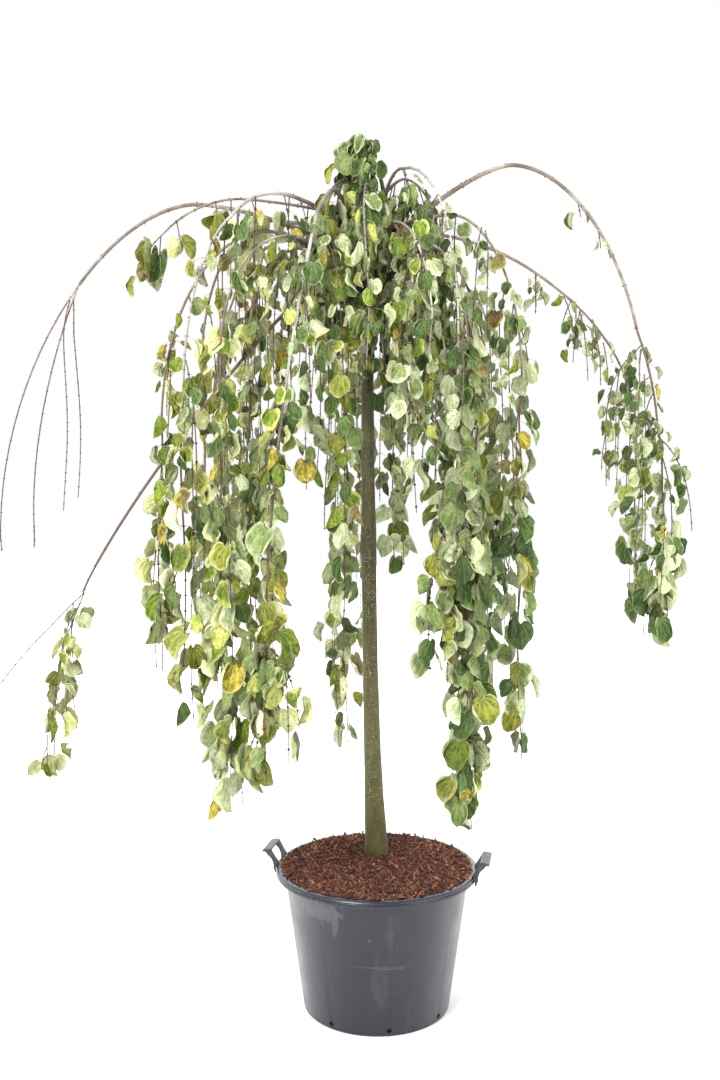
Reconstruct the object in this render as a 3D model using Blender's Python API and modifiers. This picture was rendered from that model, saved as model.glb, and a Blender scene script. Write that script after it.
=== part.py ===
"""Weeping katsura tree in a black nursery pot, about 2.55 m tall.

Metres, +Z up. The origin is the centre of the pot's flat underside. The front
is towards -Y, and +X is the tree's right seen from the front.
"""
import math
import random
from collections import namedtuple

import bmesh
import bpy
from mathutils import Matrix, Vector
from mathutils.bvhtree import BVHTree

# Clearance between touching pieces, and the distances at which points merge
GAP = 0.0003
MERGE = 0.0001
WELD = 0.000001

# Pot
RIM_HEIGHT = 0.413
RIM_RADIUS = 0.299
RIM_DEPTH = 0.021
WALL_TOP_RADIUS = 0.273
BASE_RADIUS = 0.216
RIM_ROUND = 0.004
FOOT_ROUND = 0.003
WALL = 0.003
FLOOR = 0.004
DRAIN_HOLES = 8
DRAIN_RADIUS = 0.007
DRAIN_HEIGHT = 0.017
DRAIN_LENGTH = 0.020
DRAIN_TURN = 8.5
POT_STEPS = 40

# Soil
SOIL_EDGE = 0.411
SOIL_TOP = 0.429
SOIL_FLAT = 0.11
SOIL_RINGS = 3

# Handles
HANDLE_TURNS = {"handle_left": 169.0, "handle_right": 349.0}
HANDLE_LEGS = 0.094
LEG_THICK = 0.009
GRIP_SIZE = (0.027, 0.106, 0.008)
GRIP_REACH = 0.0255
GRIP_RISE = 0.038
GRIP_TILT = 8.0
HANDLE_ROUND = 0.0025
# A leg's outline as (reach past the rim, height over it): up its outer edge, and
# down its inner edge to where it clips over the rim
LEG_OUTSIDE = (
    (0.0040, -0.0280), (0.0095, -0.0130), (0.0090, -0.0060), (0.0110, 0.0040), (0.0160, 0.0145),
    (0.0250, 0.0225), (0.0350, 0.0350))
LEG_INSIDE = ((0.0150, 0.0380), (0.0080, 0.0265), (0.0020, 0.0165), (-0.0050, 0.0060))

# Trunk
TRUNK_FOOT = Vector((0.0, 0.05, SOIL_TOP + GAP))
HEAD_HEIGHT = 2.20
TREE_HEIGHT = 2.535
FLARE_RADIUS = 0.036
BOLE_RADIUS = 0.025
HEAD_RADIUS = 0.0165
LEADER_RADIUS = 0.0045
TRUNK_SIDES = 12
TRUNK_LEAN = -0.03
LEAN_LENGTH = 0.6
TRUNK_DRIFT = -0.02
LEADER_KINK = 0.05
FLARE_LENGTH = 0.20
FLARE_RINGS = (0.0, 0.02, 0.12, 0.26)
BOLE_STEPS = 6
LEADER_STEPS = 5

# Boughs
RISE_BOW = 1.5
LIMB_SIDES = 6
LIMB_STEPS = 5
LIMB_TAPER = 0.62
COLLAR = 1.2
COLLAR_SHARE = 0.35
JOINT = 0.006

# Twigs: a stem keeps this share of its bough's end, alone there or as one of two
STEM_SHARE = 0.8
FORK_SHARE = 0.48
TIP_RADIUS = 0.0022
TRESS_RADIUS = 0.0038
TWIG_STEP = 0.20
ARCH_STEPS = 5
FIRST_TRESS = 1.2
LAST_TRESS = 1.8
BEND_DROP = 0.08
TWIG_SWAY = 0.007
SWAY_LENGTH = 0.11
SWAY_START = 0.10
RAGGED = 0.15

# Leaves: a broad heart's outline as a thin four-cornered blade. Margin: how much
# thicker, wider and longer a leaf's clearance is than the leaf.
LEAF_LENGTH = 0.104
LEAF_WIDTH = 0.094
LEAF_THICK = 0.0045
LEAF_BELLY = 0.36
LEAF_SUNK = 0.0012
LEAF_MARGIN = (2.5, 1.06, 1.04)
LEAF_SIZES = (0.85, 1.10)
LEAF_ASIDE = (0.3, 0.9)
LEAF_DOWN = (0.5, 1.0)
LEAF_TIPPED = (-0.4, 0.7)
FIRST_LEAF = (0.3, 0.8)
UNEVEN = (0.85, 1.15)
LOWEST_LEAF = 0.50
NEIGHBOUR_LEAVES = 2.5
END_LEAF = 0.05
FULL_TURN = 2 * math.pi

# One row a bough. azimuth: degrees from +X, anticlockwise seen from above.
# foot: height on the trunk. crest and tip: reach from the trunk and height.
# bow: 2 is a quarter ellipse, less is straighter. radius: at the foot.
# bare: share of the fall that is still a limb, before its foliage starts.
Bough = namedtuple(
    "Bough", "name azimuth foot crest_reach crest tip_reach tip bow radius bare sway")
BOUGHS = (
    Bough("left_arch", 183, 2.200, 0.50, 2.355, 1.06, 1.44, 1.80, 0.0080, 0.44, 0.02),
    Bough("left_low", 172, 2.035, 0.16, 2.125, 0.885, 1.21, 1.12, 0.0085, 1.0, -0.02),
    Bough("left_short", 196, 2.305, 0.37, 2.350, 0.64, 2.12, 1.8, 0.0050, 0.6, 0.01),
    Bough("left_outer", 200, 2.130, 0.30, 2.260, 0.545, 1.72, 2.0, 0.0070, 0.1, 0.01),
    Bough("left_inner", 186, 2.085, 0.20, 2.230, 0.35, 1.92, 2.0, 0.0065, 0.0, 0.02),
    Bough("front_left", 212, 2.258, 0.27, 2.352, 0.562, 1.74, 2.3, 0.0080, 0.35, -0.01),
    Bough("front_left_inner", 220, 2.060, 0.26, 2.230, 0.48, 1.84, 2.0, 0.0065, 0.0, 0.01),
    Bough("crown_left", 228, 2.376, 0.09, 2.410, 0.22, 2.10, 2.0, 0.0055, 0.0, 0.0),
    Bough("front_stout", 237, 2.205, 0.17, 2.365, 0.53, 1.20, 1.55, 0.0090, 0.2, 0.0),
    Bough("front_centre", 270, 2.310, 0.12, 2.385, 0.25, 2.10, 2.0, 0.0060, 0.0, 0.01),
    Bough("front_right_inner", 292, 2.140, 0.17, 2.270, 0.32, 2.00, 2.0, 0.0060, 0.0, 0.01),
    Bough("front_right", 308, 2.350, 0.145, 2.430, 0.39, 1.85, 2.2, 0.0055, 0.35, -0.01),
    Bough("crown_right", 350, 2.390, 0.105, 2.430, 0.23, 2.10, 2.0, 0.0055, 0.0, 0.0),
    Bough("right_long", 318, 2.080, 0.22, 2.210, 0.36, 1.86, 2.0, 0.0065, 0.0, 0.02),
    Bough("right_tress", 340, 2.275, 0.25, 2.310, 0.48, 1.82, 2.0, 0.0065, 0.0, -0.02),
    Bough("right_arch", 0, 2.190, 0.42, 2.476, 0.825, 1.73, 1.88, 0.0085, 0.75, 0.01),
    Bough("right_inner", 10, 2.040, 0.21, 2.170, 0.32, 1.88, 2.0, 0.0060, 0.0, 0.01),
    Bough("right_second", 22, 2.243, 0.22, 2.295, 0.93, 1.72, 1.80, 0.0075, 0.41, 0.02),
    Bough("back_right", 45, 2.120, 0.28, 2.310, 0.58, 1.88, 2.0, 0.0075, 0.0, -0.02),
    Bough("back_right_inner", 76, 2.295, 0.16, 2.380, 0.38, 1.95, 2.0, 0.0060, 0.0, 0.01),
    Bough("back_centre", 98, 2.160, 0.26, 2.330, 0.50, 1.88, 2.0, 0.0075, 0.0, 0.02),
    Bough("back_left_inner", 111, 2.345, 0.18, 2.400, 0.36, 2.00, 2.0, 0.0060, 0.0, -0.01),
    Bough("back_left", 146, 2.105, 0.32, 2.300, 0.60, 1.85, 2.0, 0.0075, 0.0, 0.02),
    Bough("leader", 195, 2.535, 0.02, 2.562, 0.045, 2.51, 2.0, 0.0045, 0.0, 0.0),
    Bough("left_back", 158, 2.245, 0.32, 2.345, 0.56, 1.88, 2.0, 0.0075, 0.0, -0.01),
)
# Boughs that bend round a wide gap, so their rise and fall are two limbs
SPLIT_BOUGHS = ("left_arch", "right_arch")

# One row a mass of foliage. bough: what carries it. hem: height of its lowest
# twig. out and side: how far that twig drifts from the bough's plane, and swing
# the length in which it does. tresses: twigs hung beside the stem. spread: how
# far to either side. drape: how much of the way to the hem the first tress
# hangs, as the last hangs nearly all of it. leaf_step: length of twig from leaf
# to leaf, 0 on bare twigs. seed: sets the dice of its twigs and leaves.
Mass = namedtuple("Mass", "name bough hem out side swing tresses spread drape leaf_step seed")
MASSES = (
    Mass("left_arch_outer_twigs", "left_arch", 1.34, 0.02, -0.03, 0.5, 2, 0.05, 0.9, 0, 21),
    Mass("left_arch_inner_twigs", "left_arch", 1.36, -0.11, 0.03, 0.4, 2, 0.02, 0.8, 0, 22),
    Mass("left_low_foliage", "left_low", 0.64, 0.15, -0.03, 0.3, 3, 0.10, 0.7, 0.2, 23),
    Mass("left_low_twigs", "left_low", 0.86, 0.60, 0.04, 0.50, 1, 0.05, 0.9, 0, 24),
    Mass("left_short_foliage", "left_short", 2.10, 0.02, 0.0, 0.1, 1, 0.03, 0.9, 0.14, 25),
    Mass("left_outer_foliage", "left_outer", 1.02, 0.07, 0.0, 0.3, 3, 0.06, 0.5, 0.275, 26),
    Mass("left_inner_foliage", "left_inner", 0.90, 0.0, 0.0, 0.1, 3, 0.08, 0.5, 0.275, 27),
    Mass("front_left_foliage", "front_left", 1.05, 0.02, 0.0, 0.1, 3, 0.08, 0.8, 0.275, 28),
    Mass("front_left_inner_foliage", "front_left_inner", 0.66, 0.03, 0.0, 0.1, 3, 0.07, 0.5, 0.275, 29),
    Mass("crown_left_foliage", "crown_left", 1.85, 0.0, 0.0, 0.1, 2, 0.08, 0.9, 0.15, 30),
    Mass("front_stout_foliage", "front_stout", 0.76, -0.02, 0.02, 0.2, 4, 0.10, 0.9, 0.275, 31),
    Mass("front_centre_foliage", "front_centre", 1.86, 0.0, 0.0, 0.1, 2, 0.07, 0.9, 0.15, 32),
    Mass("front_right_inner_foliage", "front_right_inner", 1.55, 0.02, 0.05, 0.1, 3, 0.07, 0.9, 0.18, 33),
    Mass("front_right_foliage", "front_right", 0.98, 0.0, 0.0, 0.1, 3, 0.09, 0.65, 0.275, 34),
    Mass("crown_right_foliage", "crown_right", 1.85, 0.0, 0.0, 0.1, 2, 0.08, 0.9, 0.15, 35),
    Mass("right_long_foliage", "right_long", 0.59, 0.02, 0.0, 0.1, 3, 0.05, 0.4, 0.275, 36),
    Mass("right_tress_foliage", "right_tress", 0.76, -0.02, 0.0, 0.1, 3, 0.04, 0.45, 0.275, 37),
    Mass("right_arch_foliage", "right_arch", 1.08, 0.09, 0.0, 0.6, 4, 0.13, 0.45, 0.2, 4),
    Mass("right_inner_foliage", "right_inner", 0.90, 0.0, 0.0, 0.1, 3, 0.08, 0.6, 0.275, 39),
    Mass("right_second_foliage", "right_second", 1.10, 0.03, 0.0, 0.3, 4, 0.06, 0.15, 0.13, 40),
    Mass("back_right_foliage", "back_right", 0.90, 0.0, 0.0, 0.1, 4, 0.11, 0.5, 0.275, 41),
    Mass("back_right_inner_foliage", "back_right_inner", 1.25, 0.0, 0.0, 0.1, 3, 0.05, 0.7, 0.275, 42),
    Mass("back_centre_foliage", "back_centre", 0.60, 0.0, 0.0, 0.1, 3, 0.05, 0.7, 0.275, 43),
    Mass("back_left_inner_foliage", "back_left_inner", 1.40, 0.0, 0.0, 0.1, 3, 0.06, 0.8, 0.275, 44),
    Mass("back_left_foliage", "back_left", 0.86, 0.0, 0.0, 0.1, 4, 0.08, 0.5, 0.275, 45),
    Mass("apex_foliage", "leader", 2.35, 0.0, 0.0, 0.1, 4, 0.11, 0.6, 0.055, 46),
    Mass("left_back_foliage", "left_back", 1.08, 0.0, 0.0, 0.1, 3, 0.09, 0.6, 0.275, 47),
)


def start_scene():
    """Empty the scene and make the tree's collection."""
    for thing in list(bpy.data.objects):
        bpy.data.objects.remove(thing, do_unlink=True)
    tree = bpy.data.collections.new("weeping_katsura_tree")
    bpy.context.scene.collection.children.link(tree)
    return tree


def make_material(name, colour, roughness):
    """A plain Principled material."""
    material = bpy.data.materials.new(name)
    material.use_nodes = True
    shader = material.node_tree.nodes["Principled BSDF"]
    shader.inputs["Base Color"].default_value = (*colour, 1.0)
    shader.inputs["Roughness"].default_value = roughness
    shader.inputs["Metallic"].default_value = 0.0
    return material


def add_mesh_object(name, mesh, collection, material):
    """Link a mesh as a named object with its material."""
    thing = bpy.data.objects.new(name, mesh)
    mesh.materials.clear()
    mesh.materials.append(material)
    collection.objects.link(thing)
    return thing


def apply_modifiers(thing):
    """Give the object the mesh that its modifiers make."""
    bpy.context.view_layer.update()
    evaluated = thing.evaluated_get(bpy.context.evaluated_depsgraph_get())
    mesh = bpy.data.meshes.new_from_object(evaluated)
    thing.modifiers.clear()
    thing.data = mesh


def turned(name, profile, steps, collection, material):
    """A closed (radius, height) outline turned about Z."""
    outline = bmesh.new()
    points = [outline.verts.new((radius, 0.0, height)) for radius, height in profile]
    for first, second in zip(points, points[1:]):
        outline.edges.new((first, second))
    mesh = bpy.data.meshes.new(name)
    outline.to_mesh(mesh)
    outline.free()
    thing = add_mesh_object(name, mesh, collection, material)
    screw = thing.modifiers.new("turn", "SCREW")
    screw.steps = steps
    screw.render_steps = steps
    screw.use_merge_vertices = True
    screw.merge_threshold = MERGE
    apply_modifiers(thing)
    return thing


def wall_radius(height):
    """Outer radius of the pot's tapering wall."""
    share = height / (RIM_HEIGHT - RIM_DEPTH)
    return BASE_RADIUS + (WALL_TOP_RADIUS - BASE_RADIUS) * share


def remove_collection(pieces):
    """Remove a collection with its objects."""
    for piece in list(pieces.objects):
        bpy.data.objects.remove(piece, do_unlink=True)
    bpy.data.collections.remove(pieces)


def make_pot(collection, material):
    """The moulded shell: rolled rim, tapering wall, flat floor, drain holes."""
    rim_foot = RIM_HEIGHT - RIM_DEPTH
    profile = [
        (0.0, FLOOR),
        (wall_radius(FLOOR) - WALL, FLOOR),
        (WALL_TOP_RADIUS - WALL, rim_foot),
        (WALL_TOP_RADIUS - WALL, RIM_HEIGHT - RIM_ROUND),
        (WALL_TOP_RADIUS + RIM_ROUND, RIM_HEIGHT),
        (RIM_RADIUS - RIM_ROUND * 2, RIM_HEIGHT),
        (RIM_RADIUS - RIM_ROUND / 2, RIM_HEIGHT - RIM_ROUND),
        (RIM_RADIUS, RIM_HEIGHT - RIM_ROUND * 2),
        (RIM_RADIUS, rim_foot + RIM_ROUND),
        (RIM_RADIUS - RIM_ROUND, rim_foot),
        (WALL_TOP_RADIUS, rim_foot),
        (wall_radius(FOOT_ROUND), FOOT_ROUND),
        (BASE_RADIUS - FOOT_ROUND, 0.0),
        (0.0, 0.0),
    ]
    pot = turned("pot", profile, POT_STEPS, collection, material)
    cutters = bpy.data.collections.new("cutters")
    bpy.context.scene.collection.children.link(cutters)
    for hole in range(DRAIN_HOLES):
        turn = math.radians(DRAIN_TURN + 360.0 * hole / DRAIN_HOLES)
        radius = wall_radius(DRAIN_HEIGHT) - WALL / 2
        bpy.ops.mesh.primitive_cylinder_add(
            vertices=8, radius=DRAIN_RADIUS, depth=DRAIN_LENGTH,
            location=(radius * math.cos(turn), radius * math.sin(turn), DRAIN_HEIGHT),
            rotation=(0.0, math.pi / 2, turn))
        cutter = bpy.context.object
        bpy.context.collection.objects.unlink(cutter)
        cutters.objects.link(cutter)
    boolean = pot.modifiers.new("drain", "BOOLEAN")
    boolean.operation = "DIFFERENCE"
    boolean.operand_type = "COLLECTION"
    boolean.collection = cutters
    apply_modifiers(pot)
    remove_collection(cutters)


def make_soil(collection, material):
    """The bark mulch and root ball that fill the pot, slightly domed on top."""
    inset = WALL + GAP * 2
    brim = WALL_TOP_RADIUS - inset
    dome = []
    for ring in range(SOIL_RINGS + 1):
        share = ring / SOIL_RINGS
        height = SOIL_EDGE + (SOIL_TOP - SOIL_EDGE) * math.cos(share * math.pi / 2)
        dome.append((SOIL_FLAT + (brim - SOIL_FLAT) * share, height))
    foot = FLOOR + GAP
    profile = [(0.0, SOIL_TOP)] + dome + [
        (brim, RIM_HEIGHT - RIM_DEPTH),
        (wall_radius(foot) - inset, foot),
        (0.0, foot),
    ]
    turned("soil", profile, POT_STEPS, collection, material)


def make_handle(name, turn, collection, material):
    """A moulded grip on two waisted legs that clip over the rim."""
    rim_clip = [
        (-RIM_ROUND * 2, GAP), (GAP - RIM_ROUND / 2, GAP - RIM_ROUND), (GAP, -RIM_ROUND * 2),
        (GAP, LEG_OUTSIDE[0][1]),
    ]
    outline = bpy.data.curves.new(name, "CURVE")
    outline.dimensions = "2D"
    outline.fill_mode = "BOTH"
    outline.extrude = LEG_THICK / 2
    corners = list(LEG_OUTSIDE) + list(LEG_INSIDE) + rim_clip
    spline = outline.splines.new("POLY")
    spline.points.add(len(corners) - 1)
    for point, (reach, rise) in zip(spline.points, corners):
        point.co = (RIM_RADIUS + reach, RIM_HEIGHT + rise, 0.0, 1.0)
    spline.use_cyclic_u = True
    flat = bpy.data.objects.new(name, outline)
    collection.objects.link(flat)
    leg = apply_curve(flat, collection, material)
    leg.data.transform(Matrix.Rotation(math.pi / 2, 4, "X"))
    # Each leg stands square to the round rim where it clips on
    leg_turn = math.asin(HANDLE_LEGS / 2 / (RIM_RADIUS + GRIP_REACH))
    other_leg = add_mesh_object(name + " leg", leg.data.copy(), collection, material)
    collection.objects.unlink(other_leg)
    leg.data.transform(Matrix.Rotation(leg_turn, 4, "Z"))
    other_leg.data.transform(Matrix.Rotation(-leg_turn, 4, "Z"))
    tilt = math.radians(GRIP_TILT)
    bpy.ops.mesh.primitive_cube_add(
        size=1.0, location=(RIM_RADIUS + GRIP_REACH, 0.0, RIM_HEIGHT + GRIP_RISE), rotation=(0.0, tilt, 0.0))
    grip = bpy.context.object
    grip.data.transform(Matrix.Diagonal((*GRIP_SIZE, 1.0)))
    bpy.context.collection.objects.unlink(grip)
    rounding = grip.modifiers.new("round", "BEVEL")
    rounding.width = HANDLE_ROUND
    rounding.segments = 1
    pieces = bpy.data.collections.new("handle pieces")
    bpy.context.scene.collection.children.link(pieces)
    pieces.objects.link(other_leg)
    pieces.objects.link(grip)
    fuse_collection(leg, pieces)
    leg.data.transform(Matrix.Rotation(math.radians(turn), 4, "Z"))


def apply_curve(thing, collection, material):
    """Replace a curve object by its mesh, with the caps welded on."""
    bpy.context.view_layer.update()
    evaluated = thing.evaluated_get(bpy.context.evaluated_depsgraph_get())
    mesh = bpy.data.meshes.new_from_object(evaluated)
    name = thing.name
    place = thing.matrix_world.copy()
    bpy.data.objects.remove(thing, do_unlink=True)
    shape = bmesh.new()
    shape.from_mesh(mesh)
    bmesh.ops.remove_doubles(shape, verts=shape.verts, dist=WELD)
    bmesh.ops.recalc_face_normals(shape, faces=shape.faces)
    shape.to_mesh(mesh)
    shape.free()
    solid = add_mesh_object(name, mesh, collection, material)
    solid.matrix_world = place
    return solid


def fuse_collection(base, pieces):
    """Boolean union of a collection into the base object, which is applied.

    The exact solver now and then leaves an edge open: the other one closes it.
    """
    plain = base.data
    for solver in ("EXACT", "MANIFOLD"):
        base.data = plain.copy()
        union = base.modifiers.new("fuse", "BOOLEAN")
        union.operation = "UNION"
        union.operand_type = "COLLECTION"
        union.collection = pieces
        union.solver = solver
        apply_modifiers(base)
        shape = bmesh.new()
        shape.from_mesh(base.data)
        bmesh.ops.triangulate(shape, faces=shape.faces)
        keep_largest_shell(shape)
        closed = all(len(edge.link_faces) == 2 for edge in shape.edges)
        shape.to_mesh(base.data)
        shape.free()
        if closed:
            break
    remove_collection(pieces)


def keep_largest_shell(shape):
    """Drop loose scraps, and fill sealed hollows by dropping their walls."""
    shape.faces.ensure_lookup_table()
    unseen = set(shape.faces)
    shells = []
    while unseen:
        stack = [unseen.pop()]
        shell = []
        while stack:
            face = stack.pop()
            shell.append(face)
            for edge in face.edges:
                for other in edge.link_faces:
                    if other in unseen:
                        unseen.remove(other)
                        stack.append(other)
        shells.append(shell)
    shells.sort(key=len, reverse=True)
    scraps = [face for shell in shells[1:] for face in shell]
    bmesh.ops.delete(shape, geom=scraps, context="FACES")
    loose = [vert for vert in shape.verts if not vert.link_faces]
    bmesh.ops.delete(shape, geom=loose, context="VERTS")


def trunk_centre(height):
    """The trunk's axis: upright at its foot, a slight lean, then the leader's kink."""
    risen = max(0.0, height - TRUNK_FOOT.z - FLARE_RINGS[1])
    lean = TRUNK_LEAN * (1.0 - math.exp(-risen / LEAN_LENGTH))
    share = min(max(0.0, (height - HEAD_HEIGHT) / (TREE_HEIGHT - HEAD_HEIGHT)), 1.0)
    kink = LEADER_KINK * math.sin(math.pi * share)
    drift = TRUNK_DRIFT * risen / (HEAD_HEIGHT - TRUNK_FOOT.z)
    return Vector((TRUNK_FOOT.x + lean + kink, TRUNK_FOOT.y + drift, height))


def trunk_radius(height):
    """The bole tapers evenly over its root flare, the leader much faster."""
    if height <= HEAD_HEIGHT:
        risen = height - TRUNK_FOOT.z
        share = risen / (HEAD_HEIGHT - TRUNK_FOOT.z)
        flare = (FLARE_RADIUS - BOLE_RADIUS) * math.exp(-risen / FLARE_LENGTH)
        return BOLE_RADIUS + (HEAD_RADIUS - BOLE_RADIUS) * share + flare
    share = (height - HEAD_HEIGHT) / (TREE_HEIGHT - HEAD_HEIGHT)
    return LEADER_RADIUS + (HEAD_RADIUS - LEADER_RADIUS) * (1.0 - share) ** 2


def make_tube(name, points, radii, sides, collection, material):
    """A tapering limb as a mesh. Three sides follow a triangle, more a round bevel."""
    curve = bpy.data.curves.new(name, "CURVE")
    curve.dimensions = "3D"
    curve.use_fill_caps = True
    if sides == 3:
        section = bpy.data.curves.new("section", "CURVE")
        corners = section.splines.new("POLY")
        corners.points.add(2)
        corners.use_cyclic_u = True
        for corner, point in enumerate(corners.points):
            turn = FULL_TURN * corner / 3
            point.co = (math.cos(turn), math.sin(turn), 0.0, 1.0)
        guide = bpy.data.objects.new("section", section)
        collection.objects.link(guide)
        curve.bevel_mode = "OBJECT"
        curve.bevel_object = guide
    else:
        curve.bevel_depth = 1.0
        curve.bevel_resolution = (sides - 4) // 2
    spline = curve.splines.new("POLY")
    spline.points.add(len(points) - 1)
    for point, place, radius in zip(spline.points, points, radii):
        point.co = (*place, 1.0)
        point.radius = radius
    limb = bpy.data.objects.new(name, curve)
    collection.objects.link(limb)
    solid = apply_curve(limb, collection, material)
    if sides == 3:
        bpy.data.objects.remove(guide, do_unlink=True)
    return solid


def surface(thing):
    """The object's surface, for clearance tests."""
    shape = bmesh.new()
    shape.from_mesh(thing.data)
    tree = BVHTree.FromBMesh(shape)
    shape.free()
    return tree


def make_trunk(collection, material):
    """One stem from a flat cut at soil level to the leader's tip."""
    heights = [TRUNK_FOOT.z + rise for rise in FLARE_RINGS]
    stretches = ((heights[-1], HEAD_HEIGHT, BOLE_STEPS), (HEAD_HEIGHT, TREE_HEIGHT, LEADER_STEPS))
    for low, high, steps in stretches:
        heights += [low + (high - low) * step / steps for step in range(1, steps + 1)]
    points = [trunk_centre(height) for height in heights]
    radii = [trunk_radius(height) for height in heights]
    return make_tube("trunk", points, radii, TRUNK_SIDES, collection, material)


def heading(azimuth):
    """Unit vectors away from the trunk and to the side, for a compass turn."""
    turn = math.radians(azimuth)
    out = Vector((math.cos(turn), math.sin(turn), 0.0))
    return out, Vector((-out.y, out.x, 0.0))


def arch_axis(bough):
    """The middle that a bough's reach is measured from: the head, or the leader's tip."""
    return trunk_centre(TREE_HEIGHT if bough.foot >= TREE_HEIGHT else HEAD_HEIGHT)


def arch_point(bough, share):
    """A point of the bough's arch: share 0 at the trunk, 1 at its crest, 2 at its tip."""
    out, side = heading(bough.azimuth)
    if share <= 1.0:
        reach = bough.crest_reach * share
        height = bough.crest - (bough.crest - bough.foot) * (1.0 - share) ** RISE_BOW
        base = trunk_centre(bough.foot).lerp(arch_axis(bough), share)
    else:
        angle = (share - 1.0) * math.pi / 2
        power = 2.0 / bough.bow
        across = math.sin(angle) ** power
        drop = 1.0 - max(0.0, math.cos(angle)) ** power
        reach = bough.crest_reach + (bough.tip_reach - bough.crest_reach) * across
        height = bough.crest - (bough.crest - bough.tip) * drop
        base = arch_axis(bough)
    sway = bough.sway * math.sin(share * math.pi)
    place = base + out * reach + side * sway
    return Vector((place.x, place.y, height))


def arch_direction(bough, share):
    """The arch's direction there, away from the trunk."""
    near = arch_point(bough, max(share - 0.01, 0.0))
    far = arch_point(bough, min(share + 0.01, 2.0))
    return (far - near).normalized()


def limb_radius(bough, share):
    """The bough's even taper from its foot to its tip."""
    return bough.radius * (1.0 - LIMB_TAPER * share / 2.0)


def make_limb(bough, name, first, last, trunk_surface, collection, material):
    """One tapering limb of the arch, between two shares of it."""
    shares = [first + (last - first) * n / LIMB_STEPS for n in range(LIMB_STEPS + 1)]
    points = [arch_point(bough, share) for share in shares]
    radii = [limb_radius(bough, share) for share in shares]
    end = arch_direction(bough, last)
    points[-1] = points[-1] - end * GAP / 2
    points.insert(-1, points[-1] - end * JOINT)
    radii.insert(-1, radii[-1])
    if first > 0.0:
        start = arch_direction(bough, first)
        points[0] = points[0] + start * GAP / 2
        points.insert(1, points[0] + start * JOINT)
        radii.insert(1, radii[0])
    else:
        out = heading(bough.azimuth)[0]
        collar = radii[0] * COLLAR
        seat = trunk_seat(trunk_surface, bough, collar)
        points[0] = seat
        points[1:1] = [seat + out * JOINT, seat.lerp(points[1], COLLAR_SHARE) + out * JOINT]
        radii[0:1] = [collar, collar, radii[0]]
    return make_tube(name, points, radii, LIMB_SIDES, collection, material)


def trunk_seat(trunk_surface, bough, collar):
    """Where the bough's flat foot stands GAP clear of the trunk's bark."""
    out, side = heading(bough.azimuth)
    up = Vector((0, 0, 1))
    centre = trunk_centre(bough.foot)
    far = FLARE_RADIUS * 2
    rings = 3
    turns = 24
    reaches = []
    for ring in range(rings + 1):
        rim = collar * ring / rings
        for turn in range(turns):
            angle = FULL_TURN * turn / turns
            offset = (side * math.cos(angle) + up * math.sin(angle)) * rim
            hit = trunk_surface.ray_cast(centre + offset + out * far, -out)
            if hit[0] is not None:
                reaches.append(far - hit[3])
    return centre + out * (max(reaches) + GAP * 1.5)


def hanging_twig(start, out, side, hem, reach, swing, phase):
    """Points of a twig that hangs from its start down to the hem height."""
    drop = start.z - hem
    steps = max(2, round(drop / TWIG_STEP))
    points = []
    for step in range(steps + 1):
        fallen = drop * step / steps
        ease = 1.0 - math.exp(-fallen / swing)
        across = out * reach[0] * ease + side * reach[1] * ease
        points.append(start + across + twig_sway(fallen, out, side, phase) - Vector((0, 0, fallen)))
    return points


def twig_sway(fallen, out, side, phase):
    """The slow wander of a hanging twig, none at its start."""
    settled = min(fallen / SWAY_START, 1.0) * TWIG_SWAY
    turn = fallen / SWAY_LENGTH + phase
    return (out * math.sin(turn) + side * math.cos(turn * 0.8)) * settled


def mass_stem(mass, bough, forks, phase):
    """The stem that carries on the bough's arch and then hangs, and its first run."""
    out, side = heading(bough.azimuth)
    first = 1.0 + bough.bare
    direction = arch_direction(bough, first)
    start = arch_point(bough, first) + direction * GAP / 2
    if bough.foot >= TREE_HEIGHT:
        # The apex has no bough: its stem stands on the leader's tip
        first = 0.5
        direction = (trunk_centre(TREE_HEIGHT) - trunk_centre(TREE_HEIGHT - JOINT)).normalized()
        start = trunk_centre(TREE_HEIGHT) + direction * GAP
    if forks > 1:
        away = 1.0 if mass.out > 0.0 and mass.side < 0.0 else -1.0
        start += fork_side(direction) * away * (stem_radius(bough, forks) + 2 * GAP)
    stem = [start, start + direction * JOINT]
    steps = round((2.0 - first) * ARCH_STEPS)
    for step in range(1, steps + 1):
        stem.append(arch_point(bough, first + (2.0 - first) * step / steps))
    run = len(stem)
    steps = max(1, round((stem[-1].z - mass.hem) / TWIG_STEP))
    top = stem[-1]
    for step in range(1, steps + 1):
        fallen = (top.z - mass.hem) * step / steps
        stem.append(top + twig_sway(fallen, out, side, phase) - Vector((0, 0, fallen)))
    gone = 0.0
    drifted = stem[:2]
    for near, far in zip(stem[1:], stem[2:]):
        gone += (far - near).length
        ease = 1.0 - math.exp(-gone / mass.swing)
        drifted.append(far + out * mass.out * ease + side * mass.side * ease)
    return drifted, run


def stem_radius(bough, forks):
    """The radius with which a mass's stem leaves the bough's end."""
    return limb_radius(bough, 1.0 + bough.bare) * (STEM_SHARE if forks == 1 else FORK_SHARE)


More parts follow.
